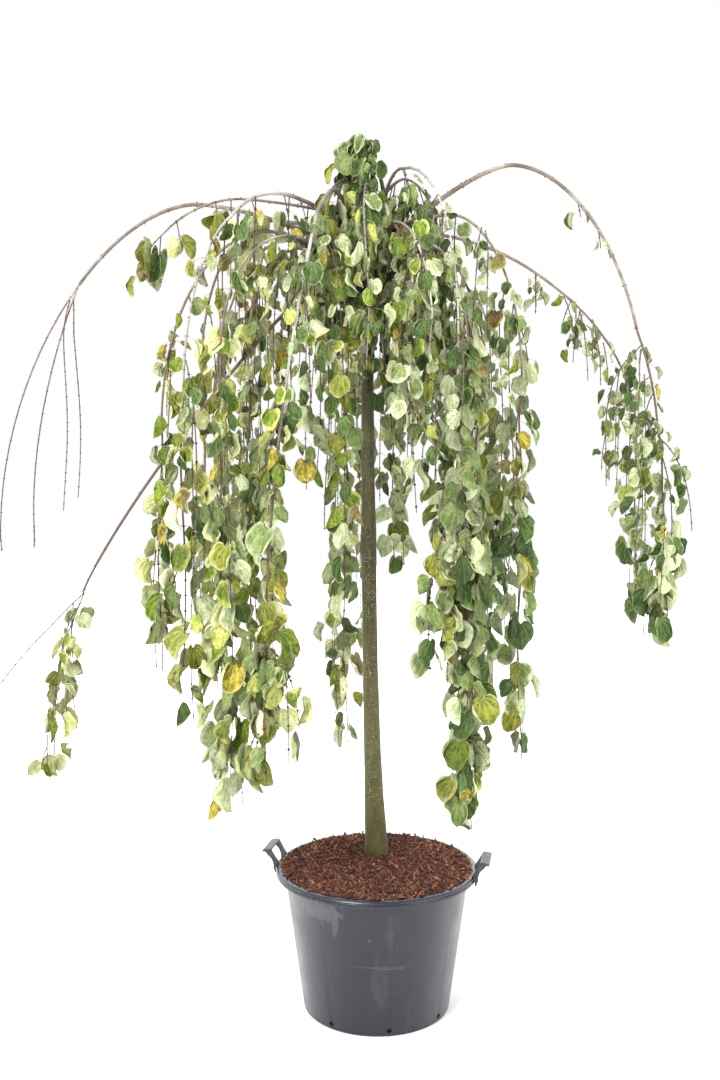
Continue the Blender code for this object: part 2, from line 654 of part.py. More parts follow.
def mass_twigs(mass, bough, forks):
    """The stem and tresses of a mass: a list of (points, first radius)."""
    dice = random.Random(mass.seed)
    out, side = heading(bough.azimuth)
    stem, run = mass_stem(mass, bough, forks, dice.uniform(0.0, FULL_TURN))
    twigs = [(stem, stem_radius(bough, forks))]
    for tress in range(mass.tresses):
        order = tress / max(mass.tresses - 1, 1)
        where = min(FIRST_TRESS + (run - 0.5) * order, len(stem) - LAST_TRESS)
        index = int(where)
        place = stem[index].lerp(stem[index + 1], where - index)
        hand = 1.0 if (tress + mass.seed) % 2 else -1.0
        reach = (dice.uniform(-0.4, 0.5) * mass.spread, hand * mass.spread * dice.uniform(0.6, 1.0))
        share = mass.drape + (1.0 - mass.drape) * order
        share *= dice.uniform(1.0 - RAGGED, 1.0)
        hem = place.z - (place.z - mass.hem) * share
        phase = dice.uniform(0.0, FULL_TURN)
        twigs.append((hanging_twig(place, out, side, hem, reach, BEND_DROP, phase), TRESS_RADIUS))
    return twigs


def fork_side(direction):
    """The upward direction in which two stems stand apart on one limb's end."""
    up = Vector((0, 0, 1))
    return (up - direction * up.dot(direction)).normalized()


def leaf_blade():
    """A thin blade of eight faces: root at the origin, tip along Z, wide along Y."""
    blade = bmesh.new()
    bmesh.ops.create_uvsphere(blade, u_segments=4, v_segments=2, radius=0.5)
    for vert in blade.verts:
        on_belly = abs(vert.co.z) < 0.1
        vert.co.z = LEAF_BELLY if on_belly else vert.co.z + 0.5
        vert.co.x *= LEAF_THICK
        vert.co.y *= LEAF_WIDTH
        vert.co.z *= LEAF_LENGTH
    return blade


def leaf_matrix(place, dice, hand):
    """Where a leaf hangs: its root in the twig, its blade aside and down."""
    facing = Matrix.Rotation(dice.uniform(0.0, FULL_TURN), 3, "Z") @ Vector((0.0, -1.0, 0.0))
    away = Vector((-facing.y, facing.x, 0.0)) * hand
    along = away * dice.uniform(*LEAF_ASIDE) - Vector((0, 0, dice.uniform(*LEAF_DOWN)))
    along.normalize()
    facing += Vector((0, 0, dice.uniform(*LEAF_TIPPED)))
    across = along.cross(facing).normalized()
    normal = across.cross(along).normalized()
    size = dice.uniform(*LEAF_SIZES)
    turn = Matrix((normal * size, across * size, along * size)).transposed()
    return Matrix.Translation(place - along * LEAF_SUNK) @ turn.to_4x4()


def touches(tree, others):
    """Whether a surface cuts any of the others."""
    return any(tree.overlap(other) for other in others)


def make_twig(name, points, radius, collection, material):
    """A three-sided twig that tapers to its tip."""
    count = len(points) - 1
    radii = [radius + (TIP_RADIUS - radius) * n / count for n in range(count + 1)]
    return make_tube(name, points, radii, 3, collection, material)


def grow_twigs(plans, limbs, tree):
    """Stems of all masses first, then the tresses that touch nothing of another mass."""
    for plan in plans:
        points, radius = plan["twigs"][0]
        stem = make_twig(plan["name"], points, radius, tree, plan["material"])
        plan["stem"] = stem
        plan["kept"] = [(points, surface(stem))]
        plan["solids"] = []
    for plan in plans:
        others = limbs + [entry[1] for other in plans if other is not plan
                          for entry in other["kept"]]
        for points, radius in plan["twigs"][1:]:
            tress = make_twig("twig", points, radius, tree, plan["material"])
            tress_surface = surface(tress)
            if touches(tress_surface, others):
                bpy.data.objects.remove(tress, do_unlink=True)
            else:
                plan["solids"].append(tress)
                plan["kept"].append((points, tress_surface))


def grow_leaves(plans, limbs, tree):
    """Leaves in turn along each twig, each clear of all limbs, twigs and leaves."""
    twigs = [entry[1] for plan in plans for entry in plan["kept"]]
    blades = []
    for plan in plans:
        step = plan["leaf_step"]
        if not step:
            continue
        dice = random.Random(plan["seed"] + 1000)
        for points, twig_surface in plan["kept"]:
            others = limbs + [twig for twig in twigs if twig is not twig_surface]
            hand = 1
            passed = 0.0
            goal = step * dice.uniform(*FIRST_LEAF)
            for near, far in zip(points, points[1:]):
                length = (far - near).length
                while passed + length > goal:
                    place = near.lerp(far, (goal - passed) / length)
                    goal += step * dice.uniform(*UNEVEN)
                    hand = -hand
                    matrix = leaf_matrix(place, dice, hand)
                    if leaf_fits(matrix, place, blades, others):
                        plan["solids"].append(make_leaf(matrix, tree, plan["material"]))
                passed += length
            end = points[-1].lerp(points[-2], END_LEAF)
            matrix = leaf_matrix(end, dice, -hand)
            if leaf_fits(matrix, end, blades, others):
                plan["solids"].append(make_leaf(matrix, tree, plan["material"]))


def leaf_fits(matrix, place, blades, others):
    """Whether a leaf is clear there, with a margin; its surface is kept if so."""
    if (matrix @ Vector((0, 0, LEAF_LENGTH))).z < LOWEST_LEAF:
        return False
    blade = leaf_blade()
    bmesh.ops.scale(blade, vec=LEAF_MARGIN, verts=blade.verts)
    bmesh.ops.transform(blade, matrix=matrix, verts=blade.verts)
    blade_surface = BVHTree.FromBMesh(blade)
    blade.free()
    near = [entry[1] for entry in blades if (entry[0] - place).length < NEIGHBOUR_LEAVES * LEAF_LENGTH]
    if touches(blade_surface, near + others):
        return False
    blades.append((place, blade_surface))
    return True


def make_leaf(matrix, collection, material):
    """One leaf as a solid."""
    blade = leaf_blade()
    bmesh.ops.transform(blade, matrix=matrix, verts=blade.verts)
    mesh = bpy.data.meshes.new("leaf")
    blade.to_mesh(mesh)
    blade.free()
    return add_mesh_object("leaf", mesh, collection, material)


def fuse_mass(plan, tree):
    """Fuse a mass's tresses and leaves to its stem."""
    pieces = bpy.data.collections.new(plan["name"] + " pieces")
    bpy.context.scene.collection.children.link(pieces)
    for solid in plan["solids"]:
        tree.objects.unlink(solid)
        pieces.objects.link(solid)
    fuse_collection(plan["stem"], pieces)


def make_tree():
    """The whole plant in its pot."""
    tree = start_scene()
    plastic = make_material("pot plastic", (0.072, 0.080, 0.092), 0.38)
    handle_plastic = make_material("handle plastic", (0.060, 0.064, 0.068), 0.45)
    mulch = make_material("bark mulch", (0.130, 0.050, 0.028), 0.95)
    bark = make_material("trunk bark", (0.125, 0.120, 0.060), 0.85)
    pale_bark = make_material("bough bark", (0.230, 0.190, 0.160), 0.80)
    green = make_material("leaves", (0.180, 0.260, 0.090), 0.60)
    twig_bark = make_material("twig bark", (0.160, 0.110, 0.100), 0.80)

    make_pot(tree, plastic)
    make_soil(tree, mulch)
    for name, turn in HANDLE_TURNS.items():
        make_handle(name, turn, tree, handle_plastic)
    trunk = make_trunk(tree, bark)
    trunk_surface = surface(trunk)
    obstacles = [trunk_surface]
    for bough in BOUGHS:
        if bough.foot >= TREE_HEIGHT:
            continue
        parts = [("", 0.0, 1.0 + bough.bare)]
        if bough.name in SPLIT_BOUGHS:
            parts = [("_rise", 0.0, 1.0), ("_fall", 1.0, 1.0 + bough.bare)]
        for suffix, first, last in parts:
            limb = make_limb(bough, "bough_" + bough.name + suffix, first, last,
                             trunk_surface, tree, pale_bark)
            obstacles.append(surface(limb))
    by_name = {bough.name: bough for bough in BOUGHS}
    carried = [mass.bough for mass in MASSES]
    plans = []
    for mass in MASSES:
        bough = by_name[mass.bough]
        plans.append({
            "name": mass.name,
            "seed": mass.seed,
            "leaf_step": mass.leaf_step,
            "material": green if mass.leaf_step else twig_bark,
            "twigs": mass_twigs(mass, bough, carried.count(mass.bough)),
        })
    grow_twigs(plans, obstacles, tree)
    grow_leaves(plans, obstacles, tree)
    for plan in plans:
        fuse_mass(plan, tree)


make_tree()
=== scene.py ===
import math
import random
from collections import namedtuple

import bpy
import numpy as np
from mathutils import Matrix, Vector, noise


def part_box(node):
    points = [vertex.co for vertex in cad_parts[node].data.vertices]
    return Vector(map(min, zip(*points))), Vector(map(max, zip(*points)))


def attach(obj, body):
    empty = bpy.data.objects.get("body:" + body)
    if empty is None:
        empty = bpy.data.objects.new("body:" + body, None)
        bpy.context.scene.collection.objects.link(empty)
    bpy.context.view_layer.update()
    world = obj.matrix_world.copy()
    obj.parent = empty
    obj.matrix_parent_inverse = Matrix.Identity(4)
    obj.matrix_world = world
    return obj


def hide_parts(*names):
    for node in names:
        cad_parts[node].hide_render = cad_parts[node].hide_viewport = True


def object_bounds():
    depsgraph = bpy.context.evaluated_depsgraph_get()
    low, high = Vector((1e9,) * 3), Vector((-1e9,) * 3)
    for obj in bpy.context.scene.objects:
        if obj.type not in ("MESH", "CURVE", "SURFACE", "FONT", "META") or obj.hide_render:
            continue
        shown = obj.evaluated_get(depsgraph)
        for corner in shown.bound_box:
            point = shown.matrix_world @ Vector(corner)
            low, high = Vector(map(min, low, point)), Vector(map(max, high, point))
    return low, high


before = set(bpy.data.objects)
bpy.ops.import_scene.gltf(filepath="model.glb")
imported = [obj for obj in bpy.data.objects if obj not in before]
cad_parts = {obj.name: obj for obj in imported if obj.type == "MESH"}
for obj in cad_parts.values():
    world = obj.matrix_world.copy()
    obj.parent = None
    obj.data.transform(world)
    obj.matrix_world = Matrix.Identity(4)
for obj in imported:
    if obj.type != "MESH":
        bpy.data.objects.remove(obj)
cad_low, cad_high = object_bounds()

# The pot. A round nursery container of dark blue-grey polypropylene, injection
# moulded in one shot: tapering wall, flat floor, drain holes round its foot and a
# rolled rim whose lower half shows as a second tone under a groove.
pot_low, pot_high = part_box("pot")
RIM_RADIUS = (pot_high[0] - pot_low[0]) / 2
RIM_HEIGHT = pot_high[2]
RIM_DEPTH = 0.021
RIM_GROOVE = 0.0026
WALL_TOP_RADIUS = RIM_RADIUS - 0.026
BASE_RADIUS = RIM_RADIUS - 0.083
WALL = 0.003
FLOOR = 0.004
RIM_ROUND = 0.004
POT_STEPS = 128
DRAIN_HOLES = 8
DRAIN_RADIUS = 0.007
DRAIN_HEIGHT = 0.017
DRAIN_TURN = 8.5
AXIS_HOLE = 0.02


def lathe(name, profile, steps):
    """Draw a ring through (radius, height) stations, as a turned or moulded shell."""
    bpy.ops.object.select_all(action="DESELECT")
    radius, height = profile[0]
    bpy.ops.mesh.primitive_circle_add(vertices=steps, radius=radius, location=(0, 0, height))
    piece = bpy.context.object
    piece.name = name
    bpy.ops.object.transform_apply(location=True, rotation=True, scale=True)
    bpy.ops.object.mode_set(mode="EDIT")
    bpy.ops.mesh.select_all(action="SELECT")
    for (near, low), (far, high) in zip(profile, profile[1:]):
        bpy.ops.mesh.extrude_region_move(TRANSFORM_OT_translate={"value": (0, 0, high - low)})
        bpy.ops.transform.resize(value=(far / near, far / near, 1), center_override=(0, 0, high))
    bpy.ops.mesh.select_all(action="SELECT")
    bpy.ops.mesh.fill_holes(sides=0)
    bpy.ops.mesh.normals_make_consistent(inside=False)
    bpy.ops.object.mode_set(mode="OBJECT")
    bpy.ops.object.shade_smooth_by_angle(angle=math.radians(35))
    return piece


def new_material(name):
    """An empty Principled material with its node tree and shader."""
    material = bpy.data.materials.new(name)
    material.use_nodes = True
    return material, material.node_tree, material.node_tree.nodes["Principled BSDF"]


def add_noise(tree, place, scale, detail=2.0, roughness=0.5):
    """A noise texture on the object's own coordinates."""
    texture = tree.nodes.new("ShaderNodeTexNoise")
    texture.inputs["Scale"].default_value = scale
    texture.inputs["Detail"].default_value = detail
    texture.inputs["Roughness"].default_value = roughness
    tree.links.new(place, texture.inputs["Vector"])
    return texture.outputs["Fac"]


def object_place(tree, stretch=(1, 1, 1), centre=(0, 0, 0)):
    """Object coordinates about a centre, stretched by a Mapping node."""
    coordinate = tree.nodes.new("ShaderNodeTexCoord")
    mapping = tree.nodes.new("ShaderNodeMapping")
    mapping.inputs["Location"].default_value = [-place * scale for place, scale in zip(centre, stretch)]
    mapping.inputs["Scale"].default_value = stretch
    tree.links.new(coordinate.outputs["Object"], mapping.inputs["Vector"])
    return mapping.outputs["Vector"]


def add_ramp(tree, value, stops):
    """A colour ramp with (place, grey or colour) stops."""
    ramp = tree.nodes.new("ShaderNodeValToRGB")
    elements = ramp.color_ramp.elements
    while len(elements) < len(stops):
        elements.new(1.0)
    for element, (place, tone) in zip(elements, stops):
        colour = (tone, tone, tone) if isinstance(tone, float) else tone
        element.position = place
        element.color = (*colour, 1.0)
    tree.links.new(value, ramp.inputs["Fac"])
    return ramp.outputs["Color"]


def add_mix(tree, factor, first, second):
    """A colour mix of two sockets or plain colours."""
    mix = tree.nodes.new("ShaderNodeMix")
    mix.data_type = "RGBA"
    sockets = {"Factor": mix.inputs[0], "A": mix.inputs[6], "B": mix.inputs[7]}
    for key, value in (("Factor", factor), ("A", first), ("B", second)):
        if isinstance(value, bpy.types.NodeSocket):
            tree.links.new(value, sockets[key])
        elif key == "Factor":
            sockets[key].default_value = value
        else:
            sockets[key].default_value = (*value, 1.0)
    return mix.outputs[2]


def add_bump(tree, shader, height, distance, strength=1.0):
    """A bump from a height value into the shader's normal."""
    bump = tree.nodes.new("ShaderNodeBump")
    bump.inputs["Distance"].default_value = distance
    bump.inputs["Strength"].default_value = strength
    tree.links.new(height, bump.inputs["Height"])
    tree.links.new(bump.outputs["Normal"], shader.inputs["Normal"])


rim_foot = RIM_HEIGHT - RIM_DEPTH
groove = RIM_HEIGHT - RIM_DEPTH * 0.45
pot_profile = [
    (AXIS_HOLE, 0.0),
    (BASE_RADIUS - 0.004, 0.0),
    (BASE_RADIUS - 0.001, 0.001),
    (BASE_RADIUS + 0.0006, 0.004),
    (BASE_RADIUS + 0.0002, 0.0062),
    (BASE_RADIUS + 0.0009, 0.0078),
    (WALL_TOP_RADIUS - 0.001, rim_foot - 0.004),
    (WALL_TOP_RADIUS + 0.001, rim_foot - 0.001),
    (WALL_TOP_RADIUS + 0.004, rim_foot),
    (RIM_RADIUS - 0.005, rim_foot),
    (RIM_RADIUS - 0.0022, rim_foot + 0.0010),
    (RIM_RADIUS - 0.0008, rim_foot + 0.0032),
    (RIM_RADIUS - 0.0006, rim_foot + 0.0055),
    (RIM_RADIUS - 0.0014, groove - 0.0020),
    (RIM_RADIUS - RIM_GROOVE, groove),
    (RIM_RADIUS - 0.0012, groove + 0.0016),
    (RIM_RADIUS, groove + 0.0042),
    (RIM_RADIUS - 0.0004, RIM_HEIGHT - 0.0045),
    (RIM_RADIUS - 0.0024, RIM_HEIGHT - 0.0018),
    (RIM_RADIUS - 0.0050, RIM_HEIGHT - 0.0004),
    (RIM_RADIUS - 0.0080, RIM_HEIGHT),
    (WALL_TOP_RADIUS + 0.007, RIM_HEIGHT),
    (WALL_TOP_RADIUS + 0.002, RIM_HEIGHT - 0.0012),
    (WALL_TOP_RADIUS - 0.001, RIM_HEIGHT - 0.0040),
    (WALL_TOP_RADIUS - WALL, RIM_HEIGHT - 0.012),
    (WALL_TOP_RADIUS - WALL, rim_foot),
    (BASE_RADIUS - WALL + 0.001, FLOOR),
    (AXIS_HOLE, FLOOR),
]
pot = lathe("pot_shell", pot_profile, POT_STEPS)
drills = []
for hole in range(DRAIN_HOLES):
    bpy.ops.object.select_all(action="DESELECT")
    turn = math.radians(DRAIN_TURN + 360.0 * hole / DRAIN_HOLES)
    bpy.ops.mesh.primitive_cylinder_add(
        vertices=16, radius=DRAIN_RADIUS, depth=0.02,
        location=(BASE_RADIUS * math.cos(turn), BASE_RADIUS * math.sin(turn), DRAIN_HEIGHT),
        rotation=(0.0, math.pi / 2, turn))
    drills.append(bpy.context.object)
for drill in drills:
    drill.select_set(True)
bpy.ops.object.join()
drill = bpy.context.object
bpy.ops.object.select_all(action="DESELECT")
bpy.context.view_layer.objects.active = pot
pot.select_set(True)
drain = pot.modifiers.new("drain holes", "BOOLEAN")
drain.operation = "DIFFERENCE"
drain.object = drill
bpy.ops.object.modifier_apply(modifier=drain.name)
bpy.data.objects.remove(drill, do_unlink=True)
bpy.ops.object.shade_smooth_by_angle(angle=math.radians(35))

plastic, tree, shader = new_material("blue-grey polypropylene")
place = object_place(tree)
cloud = add_noise(tree, place, 5.0, 3.0)
tone = add_mix(tree, cloud, (0.0085, 0.0105, 0.0165), (0.0155, 0.0190, 0.0290))
stretched = object_place(tree, (1.0, 1.0, 0.25))
dust = add_ramp(tree, add_noise(tree, stretched, 14.0, 6.0, 0.7), [(0.56, 0.0), (0.80, 0.30)])
tone = add_mix(tree, dust, tone, (0.12, 0.125, 0.13))
# Where the pot was splashed, knocked and scuffed: centre, half size, how ragged, tone
POT_MARKS = (
    ((-0.165, -0.205, 0.362), (0.090, 0.110, 0.045), 1.0, (0.075, 0.079, 0.087)),
    ((-0.118, -0.230, 0.335), (0.014, 0.080, 0.055), 0.8, (0.062, 0.066, 0.073)),
    ((0.012, -0.235, 0.209), (0.115, 0.080, 0.0030), 0.8, (0.050, 0.053, 0.060)),
    ((0.030, -0.235, 0.204), (0.055, 0.080, 0.0016), 0.6, (0.085, 0.089, 0.097)),
    ((-0.023, -0.245, 0.288), (0.003, 0.080, 0.005), 0.5, (0.130, 0.135, 0.140)),
    ((0.190, -0.170, 0.296), (0.004, 0.080, 0.005), 0.5, (0.005, 0.005, 0.006)),
    ((0.088, -0.260, 0.385), (0.009, 0.080, 0.007), 1.2, (0.004, 0.004, 0.005)),
)
ragged = add_noise(tree, place, 70.0, 5.0, 0.75)
for centre, half, rough_edge, mark_tone in POT_MARKS:
    offset = tree.nodes.new("ShaderNodeVectorMath")
    offset.operation = "LENGTH"
    tree.links.new(object_place(tree, [1.0 / size for size in half], centre), offset.inputs[0])
    edge = tree.nodes.new("ShaderNodeMath")
    edge.operation = "MULTIPLY_ADD"
    tree.links.new(ragged, edge.inputs[0])
    edge.inputs[1].default_value = rough_edge * 2.0
    centred = tree.nodes.new("ShaderNodeMath")
    tree.links.new(offset.outputs["Value"], centred.inputs[0])
    centred.inputs[1].default_value = -rough_edge
    tree.links.new(centred.outputs[0], edge.inputs[2])
    mark = add_ramp(tree, edge.outputs[0], [(0.0, 0.80), (0.6, 0.65), (0.9, 0.0)])
    tone = add_mix(tree, mark, tone, mark_tone)
tree.links.new(tone, shader.inputs["Base Color"])
gloss = add_ramp(tree, add_noise(tree, place, 9.0, 4.0), [(0.3, 0.16), (0.7, 0.30)])
tree.links.new(gloss, shader.inputs["Roughness"])
add_bump(tree, shader, add_noise(tree, place, 60.0, 3.0), 0.0004)
pot.data.materials.clear()
pot.data.materials.append(plastic)
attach(pot, "root")
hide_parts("pot")

# The handles. Two moulded loops of the same plastic, matt from use, each on two
# lugs that clip over the rim.
handle_plastic, tree, shader = new_material("handle plastic")
place = object_place(tree)
worn = add_ramp(tree, add_noise(tree, place, 40.0, 5.0, 0.65), [(0.45, 0.0), (0.75, 1.0)])
tree.links.new(add_mix(tree, worn, (0.028, 0.030, 0.034), (0.075, 0.079, 0.084)), shader.inputs["Base Color"])
shader.inputs["Roughness"].default_value = 0.45
add_bump(tree, shader, add_noise(tree, place, 120.0, 3.0), 0.0004)
for name in ("handle_left", "handle_right"):
    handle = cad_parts[name]
    handle.data.materials.clear()
    handle.data.materials.append(handle_plastic)

# The mulch. Shredded red-brown bark, spread loose on the root ball up to the rim:
# a low dome of crumbs under some thousands of split chips, a few of them pale.
soil_low, soil_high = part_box("soil")
SOIL_TOP = soil_high[2]
SOIL_FLAT = 0.11
BRIM = (soil_high[0] - soil_low[0]) / 2
SPILL = RIM_RADIUS - 0.0175
SPILL_HEIGHT = RIM_HEIGHT + 0.0015
CHIP_LENGTHS = (0.0045, 0.026)
CHIPS = 15000
CHIP_TONES = {
    "mulch_red": (0.50, (0.240, 0.075, 0.035), (0.095, 0.028, 0.015)),
    "mulch_dark": (0.34, (0.058, 0.022, 0.014), (0.015, 0.007, 0.005)),
    "mulch_pale": (0.16, (0.400, 0.195, 0.105), (0.230, 0.085, 0.042)),
}


def mulch_height(radius):
    """The dome's height at a distance from the pot's axis."""
    share = min(max((radius - SOIL_FLAT) / (SPILL - SOIL_FLAT), 0.0), 1.0)
    return SPILL_HEIGHT + (SOIL_TOP - SPILL_HEIGHT) * math.cos(share * math.pi / 2)


def joined_copies(name, shape, matrices, material):
    """One mesh piece from copies of a (points, faces) shape, each with its own matrix."""
    points, faces = shape
    matrices = np.array([[list(row) for row in matrix] for matrix in matrices])
    placed = np.einsum("nij,vj->nvi", matrices[:, :3, :3], points) + matrices[:, None, :3, 3]
    sides = len(faces[0])
    table = np.array(faces)[None, :, :] + (np.arange(len(matrices)) * len(points))[:, None, None]
    return mesh_piece(name, placed.reshape(-1, 3), table.reshape(-1, sides), material)


def mesh_piece(name, points, faces, material):
    """An object from points and faces that all have as many corners."""
    mesh = bpy.data.meshes.new(name)
    mesh.vertices.add(len(points))
    mesh.vertices.foreach_set("co", np.asarray(points, np.float32).ravel())
    sides = len(faces[0])
    mesh.loops.add(len(faces) * sides)
    mesh.loops.foreach_set("vertex_index", np.asarray(faces, np.int32).ravel())
    mesh.polygons.add(len(faces))
    mesh.polygons.foreach_set("loop_start", np.arange(len(faces), dtype=np.int32) * sides)
    mesh.update(calc_edges=True)
    mesh.validate()
    mesh.materials.append(material)
    piece = bpy.data.objects.new(name, mesh)
    bpy.context.scene.collection.objects.link(piece)
    return piece


def shape_of(piece):
    """The points and triangles of a modelled shape, which is then removed."""
    points = np.array([vert.co[:] for vert in piece.data.vertices])
    piece.data.calc_loop_triangles()
    faces = [tuple(triangle.vertices) for triangle in piece.data.loop_triangles]
    bpy.data.objects.remove(piece, do_unlink=True)
    return points, faces


foot = soil_low[2]
mulch_profile = [
    (AXIS_HOLE, foot), (BASE_RADIUS - WALL - 0.001, foot), (BRIM - 0.0008, rim_foot),
    (BRIM - 0.0008, RIM_HEIGHT - 0.003), (SPILL - 0.004, RIM_HEIGHT + 0.0002)]
for ring in range(31):
    radius = SPILL + (AXIS_HOLE - SPILL) * ring / 30
    mulch_profile.append((radius, mulch_height(radius)))
mulch = lathe("mulch_bed", mulch_profile, 120)
for vert in mulch.data.vertices:
    if vert.co.z > SPILL_HEIGHT - 0.0005:
        grain = noise.noise(vert.co * 55.0) + 0.5 * noise.noise(vert.co * 120.0)
        vert.co.z += max(0.0022 * grain - 0.0015, RIM_HEIGHT + 0.0003 - vert.co.z)
crumbs, tree, shader = new_material("bark crumbs")
place = object_place(tree)
mixed = add_ramp(tree, add_noise(tree, place, 150.0, 5.0, 0.7),
                 [(0.34, (0.020, 0.008, 0.006)), (0.52, (0.100, 0.034, 0.020)), (0.70, (0.22, 0.085, 0.050))])
# Below the rim's foot the bed darkens with depth to near black, as seen through the drain holes
level = tree.nodes.new("ShaderNodeSeparateXYZ")
tree.links.new(place, level.inputs["Vector"])
depth = tree.nodes.new("ShaderNodeMapRange")
depth.inputs["From Min"].default_value = rim_foot
depth.inputs["From Max"].default_value = rim_foot - 0.03
tree.links.new(level.outputs["Z"], depth.inputs["Value"])
mixed = add_mix(tree, depth.outputs["Result"], mixed, (0.003, 0.0025, 0.002))
tree.links.new(mixed, shader.inputs["Base Color"])
shader.inputs["Roughness"].default_value = 0.95
add_bump(tree, shader, add_noise(tree, place, 160.0, 4.0), 0.004)
mulch.data.materials.append(crumbs)
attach(mulch, "root")
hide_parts("soil")

# One splinter, modelled once: a three-sided prism laid down, tapered at one end
bpy.ops.object.select_all(action="DESELECT")
bpy.ops.mesh.primitive_cone_add(vertices=3, radius1=0.55, radius2=0.22, depth=1.0, location=(0, 0, 0),
                                rotation=(0, math.pi / 2, 0))
bpy.ops.object.transform_apply(location=True, rotation=True, scale=True)
chip_shape = shape_of(bpy.context.object)
dice = random.Random(5)
chip_places = {name: [] for name in CHIP_TONES}
for _ in range(CHIPS):
    turn = dice.uniform(0.0, 2 * math.pi)
    radius = (SPILL - 0.001) * math.sqrt(dice.random())
    length = CHIP_LENGTHS[0] + (CHIP_LENGTHS[1] - CHIP_LENGTHS[0]) * dice.random() ** 3.0
    wide = max(length * dice.uniform(0.16, 0.45), 0.0016)
    size = (length, wide, wide * dice.uniform(0.5, 0.9))
    tilt = Matrix.Rotation(dice.uniform(-0.8, 0.8), 4, "Y") @ Matrix.Rotation(dice.uniform(-0.6, 0.6), 4, "X")
    height = mulch_height(radius) + dice.uniform(-0.0005, 0.0035)
    matrix = Matrix.Translation((radius * math.cos(turn), radius * math.sin(turn), height))
    matrix = matrix @ Matrix.Rotation(dice.uniform(0.0, 2 * math.pi), 4, "Z") @ tilt @ Matrix.Diagonal((*size, 1.0))
    pick = dice.random()
    for name, (share, _light, _dark) in CHIP_TONES.items():
        pick -= share
        if pick <= 0.0:
            break
    chip_places[name].append(matrix)
for name, (_share, light, dark) in CHIP_TONES.items():
    material, tree, shader = new_material(name.replace("_", " "))
    place = object_place(tree)
    grains = add_ramp(tree, add_noise(tree, place, 210.0, 3.0, 0.6), [(0.35, dark), (0.65, light)])
    tree.links.new(grains, shader.inputs["Base Color"])
    shader.inputs["Roughness"].default_value = 0.9
    add_bump(tree, shader, add_noise(tree, place, 350.0, 3.0), 0.001)
    chips = joined_copies(name, chip_shape, chip_places[name], material)
    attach(chips, "root")

# The trunk. One smooth young stem, olive bark greener at its foot, crossed by pale
# corky lenticels. It stands in the mulch with a slight flare and leans to the left.
trunk_low, trunk_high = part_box("trunk")
TRUNK_FOOT = Vector((0.0, 0.05, trunk_low[2]))
HEAD_HEIGHT = 2.20
TREE_HEIGHT = 2.535
FLARE_RADIUS = 0.036
BOLE_RADIUS = 0.025
HEAD_RADIUS = 0.0165
LEADER_RADIUS = 0.0045
TRUNK_LEAN = -0.03
LEAN_LENGTH = 0.6
TRUNK_DRIFT = -0.02
LEADER_KINK = 0.05
FLARE_LENGTH = 0.20
STRAIGHT_FOOT = 0.02
GRAFT_HEIGHT = 1.34
GRAFT_LENGTH = 0.12
GRAFT_SWELL = 0.13
TRUNK_SIDES = 32
TRUNK_STEP = 0.007


def trunk_centre(height):
    """The trunk's axis: upright at its foot, a slight lean, then the leader's kink."""
    risen = max(0.0, height - TRUNK_FOOT.z - STRAIGHT_FOOT)
    lean = TRUNK_LEAN * (1.0 - math.exp(-risen / LEAN_LENGTH))
    share = min(max(0.0, (height - HEAD_HEIGHT) / (TREE_HEIGHT - HEAD_HEIGHT)), 1.0)
    kink = LEADER_KINK * math.sin(math.pi * share)
    drift = TRUNK_DRIFT * risen / (HEAD_HEIGHT - TRUNK_FOOT.z)
    return Vector((TRUNK_FOOT.x + lean + kink, TRUNK_FOOT.y + drift, height))


def trunk_radius(height):
    """The bole tapers evenly over its root flare, the leader much faster."""
    if height <= HEAD_HEIGHT:
        risen = max(height - TRUNK_FOOT.z, 0.0)
        share = risen / (HEAD_HEIGHT - TRUNK_FOOT.z)
        flare = (FLARE_RADIUS - BOLE_RADIUS) * math.exp(-risen / FLARE_LENGTH)
        return BOLE_RADIUS + (HEAD_RADIUS - BOLE_RADIUS) * share + flare
    share = (height - HEAD_HEIGHT) / (TREE_HEIGHT - HEAD_HEIGHT)
    return LEADER_RADIUS + (HEAD_RADIUS - LEADER_RADIUS) * (1.0 - share) ** 2


def sweep(points, radii, sides):
    """A tube along a route, closed at its ends: its points and triangles."""
    route = np.array([tuple(point) for point in points])
    ways = np.gradient(route, axis=0)
    ways /= np.linalg.norm(ways, axis=1)[:, None]
    across = np.cross(ways[0], (0.31, 0.87, 0.38))
    turns = np.arange(sides) * 2 * math.pi / sides
    cosines = np.cos(turns)[:, None]
    sines = np.sin(turns)[:, None]
    rings = []
    for place, way, radius in zip(route, ways, radii):
        across = across - way * np.dot(across, way)
        across = across / np.linalg.norm(across)
        rings.append(place + radius * (cosines * across + sines * np.cross(way, across)))
    rings.append(route[[0, -1]])
    count = len(points)
    near = np.arange(sides)
    far = (near + 1) % sides
    faces = []
    for ring in range(count - 1):
        low = ring * sides
        high = low + sides
        faces.append(np.stack((low + near, low + far, high + far), axis=1))
        faces.append(np.stack((low + near, high + far, high + near), axis=1))
    last = (count - 1) * sides
    foot_point = count * sides
    faces.append(np.stack((far, near, np.full(sides, foot_point)), axis=1))
    faces.append(np.stack((last + near, last + far, np.full(sides, foot_point + 1)), axis=1))
    return np.concatenate(rings), np.concatenate(faces)


def joined_tubes(name, tubes, material):
    """One mesh piece from many (points, triangles) tubes."""
    points = []
    faces = []
    count = 0
    for tube_points, tube_faces in tubes:
        points.append(tube_points)
        faces.append(tube_faces + count)
        count += len(tube_points)
    piece = mesh_piece(name, np.concatenate(points), np.concatenate(faces), material)
    piece.data.shade_smooth()
    return piece


